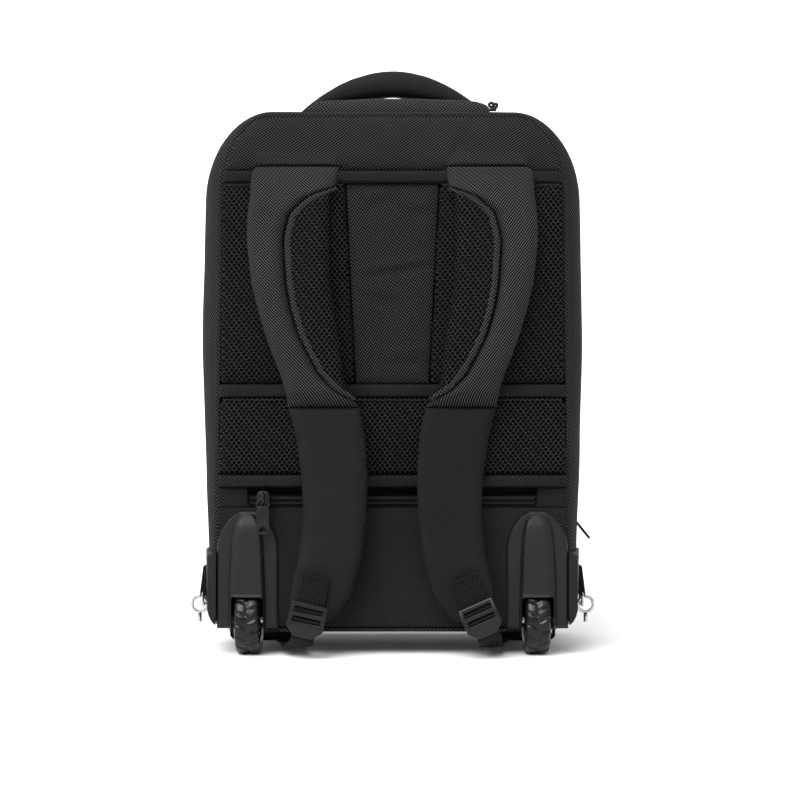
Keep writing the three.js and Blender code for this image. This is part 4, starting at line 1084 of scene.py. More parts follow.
class BACKPACK_OT_side_wall(bpy.types.Operator):
    """Side wall of padded twill, from the back seam round to the front seam"""

    bl_idname = "backpack.side_wall"
    bl_label = "Side wall"

    def execute(self, context):
        deeps = [BODY_DEPTH * (0.5 - 0.5 * math.cos(math.pi * i / 34)) for i in range(35)]
        rings = []
        for deep in sorted([*deeps, *GROOVE_RINGS]):
            swell = swell_at(deep)
            in_groove = GROOVE[0] < deep < GROOVE[1]
            ring = []
            flat = outline(swell, 0.0)
            count = len(flat)
            for i, (x, z) in enumerate(flat):
                ax, az = flat[i - 1]
                bx, bz = flat[(i + 1) % count]
                normal = Vector((bz - az, 0, ax - bx)).normalized()
                push = body_dent(x, deep, z) * min(1.0, swell * 1.3)
                if in_groove and z > GROOVE_FOOT:
                    push = GROOVE_SUNK
                ring.append((x + normal.x * push, SEAM_Y + deep, z + normal.z * push))
            rings.append(ring)
        for share in (1.0, 0.955, 0.87, 0.5, 0.12, 0.045, 0.0):
            deep = BODY_DEPTH * share
            inset = RIM if deep in (0.0, BODY_DEPTH) else WALL
            rings.append([(x, SEAM_Y + deep, z) for x, z in outline(swell_at(deep), inset)])
        count = len(rings[0])
        faces = grid_faces(len(rings), count, closed=True)
        last = (len(rings) - 1) * count
        for c in range(count):
            d = (c + 1) % count
            faces.append((last + c, last + d, d, c))
        wall = mesh_piece("side_wall", [p for ring in rings for p in ring], faces)
        for side in (-1, 1):
            cut_with(wall, well_cutter(side))

        lengths = unrolled_lengths()

        def flat(i, place):
            away = outward(place)
            deep = clamp(place.y - SEAM_Y, 0.0, BODY_DEPTH)
            shift = linear(lengths, deep)[0] - swell_at(deep) * mix(SEAM_DROP, SIDE_SWELL, abs(away.x))
            return (place.x + away.x * shift, place.z + away.z * shift)

        finish_piece(wall, "side twill", ["gusset_shell"], "cloth", hard=60, fill=0.4, flat=flat)
        return {"FINISHED"}


class BACKPACK_OT_front(bpy.types.Operator):
    """Plain crowned front of padded twill"""

    bl_idname = "backpack.front"
    bl_label = "Front panel"

    def execute(self, context):
        def face(x, z, edge):
            u = clamp(0.5 + x / (2 * panel_half(z)))
            v = clamp((z - PANEL_FOOT) / (PANEL_TOP - PANEL_FOOT))
            crown = (1 - abs(2 * u - 1) ** 3.2) * (1 - abs(2 * v - 1) ** 3.2)
            sunk = 0.0012 * abs(ripple(x, 9, z, 0.08, 2.0)) * min(1, edge / 0.02)
            return BODY_DEPTH + FRONT_CROWN * crown - sunk

        edges = (panel_left, panel_half, PANEL_FOOT, PANEL_TOP)
        front = panel("front_cover", *edges, face, BODY_DEPTH - WALL, 90, 120)
        finish_piece(front, "side twill", ["front_panel"], "cloth", hard=60, fill=0.4)
        seam = [(x, SEAM_Y + BODY_DEPTH + 0.0004, z) for x, z in outline(0, -0.0002)]
        piping = tube("front_piping", seam, 0.0021, 10, closed=True)
        finish_piece(piping, "binding tape", [], "tape")
        return {"FINISHED"}


def pad_face(proud, round_radius, seed, uneven=0.0008, low=0.5):
    def face(x, z, edge):
        rise = low + (1 - low) * dome(edge, round_radius)
        fullness = 1 - 0.06 * math.exp(-edge / 0.03)
        wavy = ripple(x, seed, z, 0.05, seed) * uneven * min(1, edge / 0.015)
        return -proud * rise * fullness + wavy

    return face


def sewn_down(left, right, low, high):
    """How firmly a pad is held: fully at its back and at its seams, not at all in its middle."""
    def held(place):
        if place.y > SEAM_Y - 0.001:
            return 1.0
        edge = min(place.x - left(place.z), right(place.z) - place.x, place.z - low, high - place.z)
        return 1 - ease((edge - 0.0015) / 0.005)

    return held


def channel_half(z):
    share = (z - MIDDLE_TAPE_TOP) / (UPPER_TAPE_FOOT - MIDDLE_TAPE_TOP)
    return mix(CHANNEL_FOOT_HALF, CHANNEL_TOP_HALF, share)


def beside_channel(z):
    return channel_half(z) + GAP / 2


def mesh_pad(name, node, edges, seed, columns, rows):
    """A pad of spacer mesh between (left, right, low, high), filled by a cloth simulation."""
    pad = panel(name, *edges, pad_face(0.0092, 0.012, seed), PANEL_BACK, columns, rows)
    inflate(pad, sewn_down(*edges))
    finish_piece(pad, "spacer mesh", [node], "mesh", fill=0.6)


class BACKPACK_OT_back_pads(bpy.types.Operator):
    """Spacer-mesh pads and the smooth channel between them"""

    bl_idname = "backpack.back_pads"
    bl_label = "Back pads"

    def execute(self, context):
        low, high = MIDDLE_TAPE_TOP + GAP, UPPER_TAPE_FOOT - GAP
        left_pad = (panel_left, lambda z: -beside_channel(z), low, high)
        mesh_pad("back_pad_left", "mesh_pad_upper_left", left_pad, 2.0, 60, 80)
        right_pad = (beside_channel, panel_half, low, high)
        mesh_pad("back_pad_right", "mesh_pad_upper_right", right_pad, 4.0, 60, 80)
        low_pad = (panel_left, panel_half, LOWER_TAPE_TOP + GAP, MIDDLE_TAPE_FOOT - GAP)
        mesh_pad("back_pad_lower", "mesh_pad_lower", low_pad, 8.0, 110, 50)

        dents = (
            (-0.012, 0.405, 0.016, 0.006, 0.3, 0.0016),
            (0.024, 0.397, 0.014, 0.005, -0.2, 0.0015),
            (0.006, 0.345, 0.030, 0.004, 0.14, 0.0022),
            (-0.010, 0.318, 0.014, 0.005, -0.2, 0.0014),
            (0.012, 0.262, 0.02, 0.006, 0.1, 0.0012),
        )

        def face(x, z, edge):
            depth = 0.0042 * (0.35 + 0.65 * dome(edge, 0.012))
            for cx, cz, wide, tall, lean, deep in dents:
                dx, dz = x - cx, z - cz
                along = ((dx * math.cos(lean) + dz * math.sin(lean)) / wide) ** 2
                off = dz * math.cos(lean) - dx * math.sin(lean)
                depth -= deep * math.exp(-along - (off / tall) ** 2)
                depth += deep * 0.6 * math.exp(-along - ((off - tall * 1.8) / tall) ** 2)
            return -depth - 0.0004 * ripple(x, 5, z, 0.03, 4.0)

        def half(z):
            return channel_half(z) - GAP / 2

        channel = panel("back_channel", lambda z: -half(z), half, low, high, face, PANEL_BACK, 60, 110)
        finish_piece(channel, "channel twill", ["centre_channel"], "cloth", fill=0.4)
        return {"FINISHED"}


class BACKPACK_OT_yoke(bpy.types.Operator):
    """Yoke over the straps, with the creases that they pull into it"""

    bl_idname = "backpack.yoke"
    bl_label = "Yoke"

    def execute(self, context):
        def face(x, z, edge):
            start = mix(0.05, 0.4, ease((PANEL_TOP - z) / 0.03) * ease((abs(x) - 0.09) / 0.04))
            depth = 0.006 * mix(start, 1.0, dome(edge, 0.018))
            over = ease((abs(x) - 0.0465) / 0.004) * ease((0.1245 - abs(x)) / 0.006)
            above = z - STRAP_TOP - 0.0003
            if above > 0:
                ridge = 0.0098 * dome(above, 0.0028) * math.exp(-((above / 0.019) ** 2))
                depth = mix(depth, max(depth, ridge), over)
            for side in (-1, 1):
                cx, cz = side * 0.052, 0.446
                dx, dz = side * (x - cx), z - cz
                along = dx * 0.5 + dz * 0.87
                off = dz * 0.5 - dx * 0.87
                if along > -0.01:
                    fade = math.exp(-((along / 0.03) ** 2))
                    depth -= 0.0016 * fade * math.exp(-((off / 0.003) ** 2))
                    depth += 0.0009 * fade * math.exp(-(((off - 0.006) / 0.004) ** 2))
            return -depth - 0.0007 * ripple(x, 2, z, 0.045, 6.0) * min(1, edge / 0.01)

        yoke = panel("yoke", panel_left, panel_half, YOKE_FOOT, PANEL_TOP, face, PANEL_BACK, 150, 76)
        finish_piece(yoke, "yoke twill", ["yoke_panel"], "cloth", fill=0.4)
        return {"FINISHED"}


class BACKPACK_OT_tapes(bpy.types.Operator):
    """Binding tapes across the back with their stitch rows"""

    bl_idname = "backpack.tapes"
    bl_label = "Binding tapes"

    def execute(self, context):
        rows = (
            ("upper", UPPER_TAPE_FOOT, YOKE_FOOT - GAP),
            ("middle", MIDDLE_TAPE_FOOT, MIDDLE_TAPE_TOP),
            ("lower", LOWER_TAPE_FOOT + GAP, LOWER_TAPE_TOP),
        )
        sewn = []
        for name, low, high in rows:
            def face(x, z, edge):
                sewn_in = mix(0.4, 1.0, dome(panel_half(z) - abs(x), 0.014))
                wavy = 0.0003 * ripple(x, 1, z, 0.02, low * 50)
                return -0.009 * sewn_in * (0.62 + 0.38 * dome(edge, 0.0035)) + wavy

            edges = (panel_left, panel_half, low, high)
            tape = panel(f"tape_{name}_band", *edges, face, PANEL_BACK, 120, 12)
            finish_piece(tape, "binding tape", [f"tape_{name}"], "tape")
            for z in (low + 0.0022, high - 0.0022):
                half = panel_half(z) - 0.012
                path = [(x, SEAM_Y - 0.0084, z) for x in (-half, half)]
                sewn.append(stitches("sewn", path, (0, -1, 0)))
        sewn.append(zigzag(MIDDLE_TAPE_FOOT - 0.0022, -0.152, 0.152))
        for ends in ((-0.15, -0.044), (0.044, 0.15)):
            sewn.append(zigzag(UPPER_TAPE_FOOT - 0.0022, *ends))
        finish_piece(join_pieces("tape_stitches", sewn), "thread", [], "tape")
        return {"FINISHED"}


class BACKPACK_OT_lower_panel(bpy.types.Operator):
    """Cloth panel under the back zip"""

    bl_idname = "backpack.lower_panel"
    bl_label = "Lower panel"

    def execute(self, context):
        def face(x, z, edge):
            depth = 0.0026 * (0.3 + 0.7 * dome(edge, 0.012))
            return -depth - 0.0008 * ripple(x, 3, z, 0.06, 1.5) * min(1, edge / 0.01)

        edges = (panel_left, panel_half, PANEL_FOOT, ZIP_FOOT - GAP)
        lower = panel("lower_cover", *edges, face, PANEL_BACK, 120, 60)
        for side in (-1, 1):
            cut_with(lower, well_cutter(side))
        finish_piece(lower, "panel twill", ["lower_panel"], "cloth", hard=60, fill=0.3)
        return {"FINISHED"}


def at_depth(points, deep):
    return [(x, SEAM_Y + deep, z) for x, z in points]


def extruded(name, points, front, back):
    """A plate from (x, z) points between two depths."""
    return loft(name, [at_depth(points, deep) for deep in (front, back)])


def ring_turns(count):
    return [a / count * math.tau for a in range(count)]


def zip_pull(name, box):
    """A cast slider and its flat pull with a hole, filling the box of the plain solid."""
    (low_x, low_y, foot), (high_x, high_y, high_z) = box
    x = (low_x + high_x) / 2
    front = low_y - SEAM_Y
    half = 0.0058
    top = high_z - 0.0132
    plate = [(x - half * 0.72, top), (x + half * 0.72, top), (x + half, top - 0.003), (x + half, foot + 0.0026)]
    plate += [(x + half - 0.0026, foot), (x - half + 0.0026, foot), (x - half, foot + 0.0026)]
    plate.append((x - half, top - 0.003))
    pull = extruded("pull", plate, front, front + 0.0018)
    hole = [(x - 0.0034, foot + 0.0022), (x + 0.0034, foot + 0.0022), (x + 0.0034, foot + 0.0045)]
    hole += [(x, foot + 0.0072), (x - 0.0034, foot + 0.0045)]
    cut_with(pull, extruded("hole", hole, front - 0.002, front + 0.004))
    rounded(pull, 0.0005)
    radius = 0.0046
    eye = []
    for t in ring_turns(20):
        across = radius * math.sin(t) * (1.15 - 0.35 * math.cos(t))
        eye.append((x + across, top + 0.0022 + radius * math.cos(t)))
    ring = tube("eye", [(px, SEAM_Y + front + 0.0012, pz) for px, pz in eye], 0.0012, 10, closed=True)
    body = [(x - 0.006, high_z - 0.003), (x - 0.0035, high_z), (x + 0.0035, high_z), (x + 0.006, high_z - 0.003)]
    body += [(x + 0.0056, high_z - 0.0125), (x + 0.003, high_z - 0.0145), (x - 0.003, high_z - 0.0145)]
    body.append((x - 0.0056, high_z - 0.0125))
    block = rounded(extruded("slider", body, front + 0.003, high_y - SEAM_Y), 0.0011)
    arch = ((0.002, 0.0035), (0.0035, 0.0008), (0.0065, 0.0002), (0.0098, 0.0006), (0.0115, 0.0035))
    bridge = [(x, SEAM_Y + front + out, high_z - down) for down, out in arch]
    bow = tube("bow", through(bridge, 4), 0.0015, 10)
    return join_pieces(name, [pull, ring, block, bow])


def main_zip_band():
    """The main zip's tape as a band over the side wall, open at its foot."""
    half = MAIN_ZIP_HALF
    rows = [(-half, 0.0), (-half * 0.55, 0.0006), (-half * 0.4, 0.0002), (half * 0.4, 0.0002)]
    rows += [(half * 0.55, 0.0006), (half, 0.0), (half, -0.0012), (-half, -0.0012)]
    rings = []
    for offset, push in rows:
        ring = [(x, SEAM_Y + MAIN_ZIP_DEEP + offset, z) for x, z in outline(1.0, -push) if z >= MAIN_ZIP_FOOT]
        rings.append(ring)
    count, columns = len(rings[0]), len(rings)
    if any(len(ring) != count for ring in rings):
        raise RuntimeError("the main zip's rings don't match")
    points = [rings[c][r] for r in range(count) for c in range(columns)]
    faces = grid_faces(count, columns, closed=True)
    faces.append(tuple(range(columns)))
    faces.append(tuple((count - 1) * columns + c for c in range(columns)))
    return mesh_piece("main_zip_tape", points, faces)


class BACKPACK_OT_zips(bpy.types.Operator):
    """Back zip, main zip over the side wall, their sliders and pulls"""

    bl_idname = "backpack.zips"
    bl_label = "Zips"

    def execute(self, context):
        sizes = context.scene.backpack_sizes
        end = ZIP_HALF - 0.0002
        slot = 0.1478

        def tape_face(x, z, edge):
            recess = 0.0042 * ease((0.0041 - abs(z - slot)) / 0.0012)
            return -0.0014 + recess + 0.0005 * dome(0.0008 - abs(z - 0.1391), 0.001)

        edges = (lambda z: -end, lambda z: end, ZIP_FOOT, LOWER_TAPE_FOOT)
        tape = panel("back_zip_tape", *edges, tape_face, 0.0055, 60, 60)
        finish_piece(tape, "zip tape", ["back_zip"], "zip")
        rows = []
        for z, pitch, half, deep in ((0.1415, 1.3, 0.0013, 0.0011), (0.1371, 1.3, 0.0009, 0.0006)):
            path = [(-end + 0.002, SEAM_Y - deep, z), (end - 0.002, SEAM_Y - deep, z)]
            pitch *= sizes.tooth_pitch
            rows.append(coil("row", path, (0, -1, 0), pitch, half=half))
        finish_piece(join_pieces("back_zip_teeth", rows), "zip coil", [], "zip")

        def tab_face(x, z, edge):
            return -0.0012 - 0.0013 * dome(edge, 0.004)

        tabs = (
            ("left", panel_left, lambda z: -ZIP_HALF - 0.0002),
            ("right", lambda z: ZIP_HALF + 0.0002, panel_half),
        )
        for name, *edges in tabs:
            rows = (ZIP_FOOT, LOWER_TAPE_FOOT, tab_face, PANEL_BACK, 16, 14)
            tab = panel(f"back_zip_end_{name}", *edges, *rows)
            finish_piece(tab, "panel twill", [f"zip_tab_{name}"], "cloth")

        finish_piece(main_zip_band(), "zip tape", ["main_zip"], "zip")
        path = at_depth([p for p in outline(1.0, -0.0002) if p[1] >= TEETH_FOOT], MAIN_ZIP_DEEP)
        finish_piece(coil("main_zip_teeth", path, outward, 0.0021, half=0.0019), "zip coil", [], "zip")

        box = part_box("back_zip_slider")
        finish_piece(zip_pull("back_slider", box), "painted zinc", ["back_zip_slider"], "slider", hard=50)
        low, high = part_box("main_zip_pull")
        y = (low.y + high.y) / 2
        near = Vector((high.x - 0.0118, y, high.z - 0.0034))
        far = Vector((high.x - 0.0016, y, low.z + 0.0022))
        bow = [near - Vector((0, 0.0026, 0)), far - Vector((0, 0.0038, 0)), far + Vector((0, 0.0038, 0))]
        bow.append(near + Vector((0, 0.0026, 0)))
        parts = [softened("carriage", "main_zip_pull", 0.00045, 2)]
        parts.append(tube("pull_wire", through(bow, 6, closed=True), 0.0012, 10, closed=True))
        finish_piece(join_pieces("main_slider", parts), "painted zinc", ["main_zip_pull"], "slider")

        low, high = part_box("trolley_zip_slider")
        x, y = (low.x + high.x) / 2, (low.y + high.y) / 2
        parts = [softened("carriage", "trolley_zip_slider", 0.0009, 3)]
        for shift, up, radius in ((-0.0018, 0.0002, 0.0019), (0.0019, -0.0004, 0.0016)):
            eye = []
            for t in ring_turns(18):
                eye.append((x + shift + radius * math.cos(t), y - 0.002, high.z + up + radius * math.sin(t)))
            parts.append(tube("pull_eye", eye, 0.0014, 10, closed=True))
        finish_piece(join_pieces("cover_slider", parts), "painted zinc", ["trolley_zip_slider"], "slider")
        return {"FINISHED"}


# Share of the strap's drop, inner edge, outer edge
STRAP_UPPER = (
    (0.0, 0.374, 0.94),
    (0.01, 0.376, 0.966),
    (0.027, 0.38, 0.975),
    (0.047, 0.391, 0.98),
    (0.062, 0.51, 0.98),
    (0.077, 0.6, 0.985),
    (0.109, 0.705, 0.997),
    (0.144, 0.738, 1.0),
    (0.173, 0.749, 0.997),
    (0.26, 0.73, 0.965),
    (0.312, 0.7, 0.925),
    (0.369, 0.648, 0.873),
    (0.416, 0.575, 0.82),
    (0.46, 0.498, 0.765),
    (0.493, 0.39, 0.735),
    (0.515, 0.275, 0.722),
    (0.531, 0.228, 0.714),
)

STRAP_MESH = (
    (0.056, 0.42),
    (0.068, 0.428),
    (0.109, 0.432),
    (0.173, 0.432),
    (0.26, 0.425),
    (0.312, 0.4),
    (0.369, 0.37),
    (0.416, 0.35),
    (0.46, 0.335),
    (0.493, 0.31),
    (0.505, 0.3),
)

STRAP_LOWER = (
    (0.533, 0.228, 0.713),
    (0.56, 0.205, 0.69),
    (0.598, 0.184, 0.66),
    (0.685, 0.167, 0.625),
    (0.772, 0.177, 0.612),
    (0.86, 0.211, 0.642),
    (0.93, 0.272, 0.693),
    (0.965, 0.33, 0.7),
    (0.99, 0.4, 0.69),
    (1.0, 0.45, 0.64),
)

# Share of the strap's drop, how far it stands off, thickness
STRAP_BOW = (
    (0.0, 0.0, 0.5),
    (0.03, 0.0, 0.75),
    (0.08, 0.16, 1.0),
    (0.15, 0.4, 1.0),
    (0.26, 0.75, 1.0),
    (0.4, 1.0, 1.0),
    (0.5, 1.0, 1.0),
    (0.531, 0.97, 0.72),
    (0.56, 0.93, 0.9),
    (0.7, 0.8, 0.95),
    (0.86, 0.6, 0.95),
    (1.0, 0.58, 0.6),
)


# Share of the strap's drop, how far its outer edge turns back towards the bag
STRAP_TURN = (
    (0.0, 0.0), (0.1, 0.03), (0.3, 0.12), (0.5, 0.17), (0.7, 0.2), (0.8, 0.14), (0.87, 0.0), (1.0, 0.0),
)


def strap_depths(down):
    """Depth of the strap's inner and outer faces."""
    off, thick = linear(STRAP_BOW, down)
    back = STRAP_SEAT + (STRAP_STANDOFF - STRAP_SEAT) * off
    return -back, -back - STRAP_THICKNESS * thick


def strap_slab(name, rows, side, shape, seed, columns=30, steps=130):
    """A padded slab that follows a strap's table, and where its weave lies.

    The shape gives the start and radius of the roll at its inner and outer edges, where its top and foot start
    from and how far they take to rise, how far its top is sunk, how far it is set back, and its share of the turn.
    """
    first, last = rows[0][0], rows[-1][0]
    rings = []
    flats = []
    for i in range(steps):
        share = i / (steps - 1)
        down = mix(first, last, mix(share, 0.5 - 0.5 * math.cos(math.pi * share), 0.6))
        inner, outer = linear(rows, down)
        z = STRAP_TOP - down * STRAP_DROP
        back, front = strap_depths(down)
        front += shape["set back"]
        turn = linear(STRAP_TURN, down)[0] * shape["turn"]
        near, far = side * inner * STRAP_REACH, side * outer * STRAP_REACH
        span = abs(far - near)
        start, reach = shape["top"]
        tuck = mix(start, 1.0, dome((down - first) * STRAP_DROP, reach))
        start, reach = shape["foot"]
        tuck *= mix(start, 1.0, dome((last - down) * STRAP_DROP, reach))
        sunk = shape["sink"] * (1 - dome((down - first) * STRAP_DROP, 0.02))
        ring = []
        for k in range(columns):
            u = 0.5 - 0.5 * math.cos(math.pi * k / (columns - 1))
            x = mix(near, far, u)
            rises = []
            for off, (low, radius) in ((u * span, shape["inner"]), ((1 - u) * span, shape["outer"])):
                rises.append(mix(low, 1.0, dome(off, min(radius, span * 0.45))))
            edge = min(u, 1 - u) * span
            uneven = 0.0006 * ripple(x, seed, z, 0.03, seed) * min(1, edge / 0.008)
            pucker = 0.0003 * math.sin(z / 0.0048 + seed) * math.exp(-(((edge - 0.004) / 0.003) ** 2))
            y = back + (front - back) * tuck * min(rises) + uneven + pucker + sunk + turn * u * span
            ring.append((x, SEAM_Y + y, z))
        for k in range(columns // 2):
            u = 1 - (0.5 - 0.5 * math.cos(math.pi * (k + 0.5) / (columns // 2)))
            x = mix(near, far, u)
            edge = min(u, 1 - u) * span
            y = back + (front - back) * tuck * 0.3 * (1 - dome(edge, 0.005)) + sunk + turn * u * span
            ring.append((x, SEAM_Y + y, z))
        rings.append(ring)
        u = near
        for k, point in enumerate(ring):
            if k:
                u += side * math.dist(point[:2], ring[k - 1][:2]) * (1 if k < columns else -1)
            flats.append((u, z))
    return loft(name, rings), lambda i, place: flats[i]


# Rolls as (start, radius), where the start is a share of the strap's thickness
STRAP_BAND_SHAPE = {
    "inner": (0.04, 0.0125), "outer": (0.3, 0.012), "top": (0.35, 0.022), "foot": (0.06, 0.017),
    "sink": 0.0035, "set back": 0.0, "turn": 1.0,
}
STRAP_LENS_SHAPE = {
    "inner": (0.35, 0.012), "outer": (0.3, 0.01), "top": (0.4, 0.012), "foot": (0.5, 0.012),
    "sink": 0.0, "set back": 0.0014, "turn": 0.0,
}
STRAP_TAIL_SHAPE = {
    "inner": (0.3, 0.011), "outer": (0.3, 0.012), "top": (0.4, 0.0045), "foot": (0.4, 0.008),
    "sink": 0.0, "set back": 0.0, "turn": 1.0,
}


def rim_radius(share):
    """Radius of the rolled edge round the mesh, along its length."""
    return mix(0.0014, 0.0034, ease(min(share, 1 - share) / 0.06))


class BACKPACK_OT_straps(bpy.types.Operator):
    """Shoulder straps: cloth band, mesh lens with its rolled edge, lower part"""

    bl_idname = "backpack.straps"
    bl_label = "Shoulder straps"

    def execute(self, context):
        for side, name in ((-1, "left"), (1, "right")):
            twill, tail = f"{name} strap twill", f"{name} tail twill"
            lens_rows = [(down, inner, linear(STRAP_UPPER, down)[0] - 0.006) for down, inner in STRAP_MESH]
            parts = (
                ("band", "upper", STRAP_UPPER, STRAP_BAND_SHAPE, (side + 5.0, 36, 170), twill, "cloth"),
                ("lens", "mesh", lens_rows, STRAP_LENS_SHAPE, (side + 9.0, 30, 120), "spacer mesh", "mesh"),
                ("tail", "lower", STRAP_LOWER, STRAP_TAIL_SHAPE, (side + 13.0, 36, 150), tail, "cloth"),
            )
            for part, node, rows, shape, detail, look, slot in parts:
                slab, flat = strap_slab(f"strap_{part}_{name}", rows, side, shape, *detail)
                finish_piece(slab, look, [f"strap_{node}_{name}"], slot, hard=70, fill=0.6, flat=flat)
            path = []
            for i in range(70):
                down = mix(0.05, 0.512, i / 69)
                edge = linear(STRAP_UPPER, down)[0] * STRAP_REACH - 0.0044
                back, front = strap_depths(down)
                path.append((side * edge, SEAM_Y + front + 0.0042, STRAP_TOP - down * STRAP_DROP))
            rim = tube(f"strap_lens_rim_{name}", through(path[::3], 4), rim_radius, 14)
            finish_piece(rim, twill, [], "cloth")
        return {"FINISHED"}


def ribbon(name, stations, width, thick):
    """Flat webbing through (centre, across, out) stations, thinner at its edges."""
    shares = [k / 8 * 2 - 1 for k in range(9)]
    sides = [(u, 1) for u in shares] + [(u, -1) for u in reversed(shares)]
    rings = []
    for centre, across, out in stations:
        across, out = across.normalized(), out.normalized()
        ring = []
        for u, face in sides:
            bulge = thick / 2 * (1.0 if abs(u) < 0.99 else 0.45)
            ring.append(centre + across * u * width / 2 + out * bulge * face)
        rings.append(ring)
    return loft(name, rings)


def tab_frame(side):
    """Where a strap's end carries its tab and buckle: a place level with the buckle's top, turned with it."""
    tilt = math.radians(13 if side < 0 else 24)
    front = min(strap_depths(0.86)[1], strap_depths(0.93)[1]) - GAP
    place = Matrix.Translation((side * 0.0725, SEAM_Y + front, 0.0498))
    return place @ Matrix.Rotation(-side * tilt, 4, "Y")


class BACKPACK_OT_webbing(bpy.types.Operator):
    """Webbing tabs, ladder-lock buckles and the lower webbing"""

    bl_idname = "backpack.webbing"
    bl_label = "Webbing and buckles"

    def execute(self, context):
        for side, name in ((-1, "left"), (1, "right")):
            place = tab_frame(side)
            turn = place.to_3x3()
            across, out = turn @ Vector((1, 0, 0)), turn @ Vector((0, -1, 0))
            back = place.inverted()

            def strip(label, rows, width, thick):
                stations = [(place @ Vector((0, -off, z)), across, out) for z, off in rows]
                return ribbon(label, stations, width, thick)

            def level(i, p):
                return (back @ p).xz

            rows = [(z, 0.0008) for z in (0.026, 0.02, 0.01, 0.0, -0.0103)]
            tab = strip(f"webbing_tab_{name}", rows, 0.025, 0.0016)
            finish_piece(tab, "webbing", [f"strap_tab_{name}"], "webbing", flat=level)
            turned = []
            for high, low in ((-0.0044, -0.0088), (-0.013, -0.0174)):
                inner = ((mix(high, low, 0.35), 0.0042), (mix(high, low, 0.7), 0.0042))
                turned.append(strip("turn", ((high, 0.0026), *inner, (low, 0.003)), 0.0245, 0.0012))
            turned = join_pieces(f"webbing_turn_{name}", turned)
            finish_piece(turned, "webbing", [], "webbing", flat=level)
            rows = [(z, 0.0017) for z in (0.026, 0.0254, 0.0228, 0.0222)]
            hem = strip(f"webbing_hem_{name}", rows, 0.025, 0.0009)
            finish_piece(hem, "webbing", [], "webbing", flat=level)
            hard_piece(f"ladder_lock_{name}", f"buckle_{name}", "buckle plastic", "buckle", (0.0014, 3))
            node = f"lower_webbing_{name}"
            hard_piece(f"lower_strap_{name}", node, "webbing", "webbing", (0.0002, 1), hard=70)
        return {"FINISHED"}


class BACKPACK_OT_handle(bpy.types.Operator):
    """Padded grab handle and its sewn anchors"""

    bl_idname = "backpack.handle"
    bl_label = "Grab handle"

    def execute(self, context):
        rows = (
            (0.0, 1.0, 1.0),
            (0.2, 0.98, 1.0),
            (0.4, 0.88, 0.98),
            (0.58, 0.72, 0.94),
            (0.74, 0.58, 0.9),
            (0.88, 0.46, 0.88),
            (1.0, 0.34, 0.88),
        )
        section = (
            (-0.55, 0.0), (0.0, 0.035), (0.55, 0.0), (0.85, -0.12), (1.0, -0.36), (0.94, -0.72),
            (0.72, -0.93), (0.4, -1.0), (-0.4, -1.0), (-0.72, -0.93), (-0.94, -0.72), (-1.0, -0.36),
            (-0.85, -0.12),
        )
        seat = top_at(HANDLE_DEEP) + GAP
        rings = []
        for i in range(81):
            along = -1 + 2 * i / 80
            thick, deep = smooth(rows, abs(along))
            x = along * HANDLE_HALF
            crest = seat + HANDLE_RISE * (1 - along * along)
            slope = -2 * HANDLE_RISE * along / HANDLE_HALF
            length = math.hypot(1, slope)
            nx, nz = -slope / length, 1 / length
            ring = []
            for y, down in section:
                off = 0.023 * thick * down
                out = off + 0.0004 * ripple(x, y, down, 0.012, 3.0)
                z = max(crest + nz * out, HANDLE_FOOT)
                ring.append((x + nx * out, SEAM_Y + HANDLE_DEEP + y * 0.013 * deep, z))
            rings.append(ring)
        handle = loft("carry_handle", rings)
        finish_piece(handle, "handle cloth", ["grab_handle"], "cloth", hard=75, fill=0.6)
        for name in ("left", "right"):
            node = f"handle_anchor_{name}"
            hard_piece(f"handle_end_{name}", node, "handle cloth", "cloth", (0.0009, 3, 20))
        return {"FINISHED"}


class BACKPACK_OT_trolley_cover(bpy.types.Operator):
    """Zipped cover over the stowed trolley handle"""

    bl_idname = "backpack.trolley_cover"
    bl_label = "Trolley cover"

    def execute(self, context):
        left, right = COVER_LEFT, COVER_RIGHT
        first, last = COVER_FIRST, COVER_LAST
        rings = []
        for i in range(70):
            u = i / 69
            x = mix(left, right, u)
            end = min(x - left, (right - x) * 0.55)
            rise = 0.0104 * (0.35 + 0.65 * dome(end, 0.012)) + 0.0026 * math.sin(math.pi * u)
            rise += 0.0005 * ripple(x, 0, 0, 0.03, 2.0)
            ring = []
            for k in range(15):
                v = k / 14
                deep = mix(first, last, 0.5 - 0.5 * math.cos(math.pi * v))
                edge = min(deep - first, last - deep)
                z = top_at(first) + 0.0004 + rise * (0.3 + 0.7 * dome(edge, 0.008))
                ring.append((x, SEAM_Y + deep, z))
            ring.append((x, SEAM_Y + last, top_at(first) - 0.003))
            ring.append((x, SEAM_Y + first, top_at(first) - 0.003))
            rings.append(ring)
        cover = loft("trolley_flap", rings)
        finish_piece(cover, "cover twill", ["trolley_cover"], "cloth", hard=60, fill=0.4)
        path = [(x / 1000, SEAM_Y + first + 0.0028, top_at(first) + 0.0098) for x in range(-72, 80)]
        finish_piece(stitches("flap_stitches", path, (0, -0.5, 0.86)), "thread", [], "cloth")
        return {"FINISHED"}


# Wheel housings: a flange under an arch, with a raised tunnel over the wheel
HOUSING_HALF = 0.028
HOUSING_FOOT = 0.0242
HOUSING_TOP = 0.1303
ARCH_SPRING = 0.0928
HOUSING_PROUD = 0.006
TUNNEL_PROUD = 0.0078
OPENING_TOP = 0.054

# Height, how far the tunnel reaches outboard and inboard of the wheel's middle, share of its full height
TUNNEL_ROWS = (
    (0.02, 0.0172, 0.016, 1.0),
    (0.058, 0.017, 0.0158, 1.0),
    (0.077, 0.0164, 0.015, 0.99),
    (0.094, 0.0154, 0.0144, 0.96),
    (0.108, 0.014, 0.0134, 0.91),
    (0.117, 0.0122, 0.0118, 0.84),
    (0.1225, 0.0099, 0.0096, 0.74),
    (0.126, 0.0062, 0.006, 0.52),
    (0.1278, 0.003, 0.003, 0.28),
)

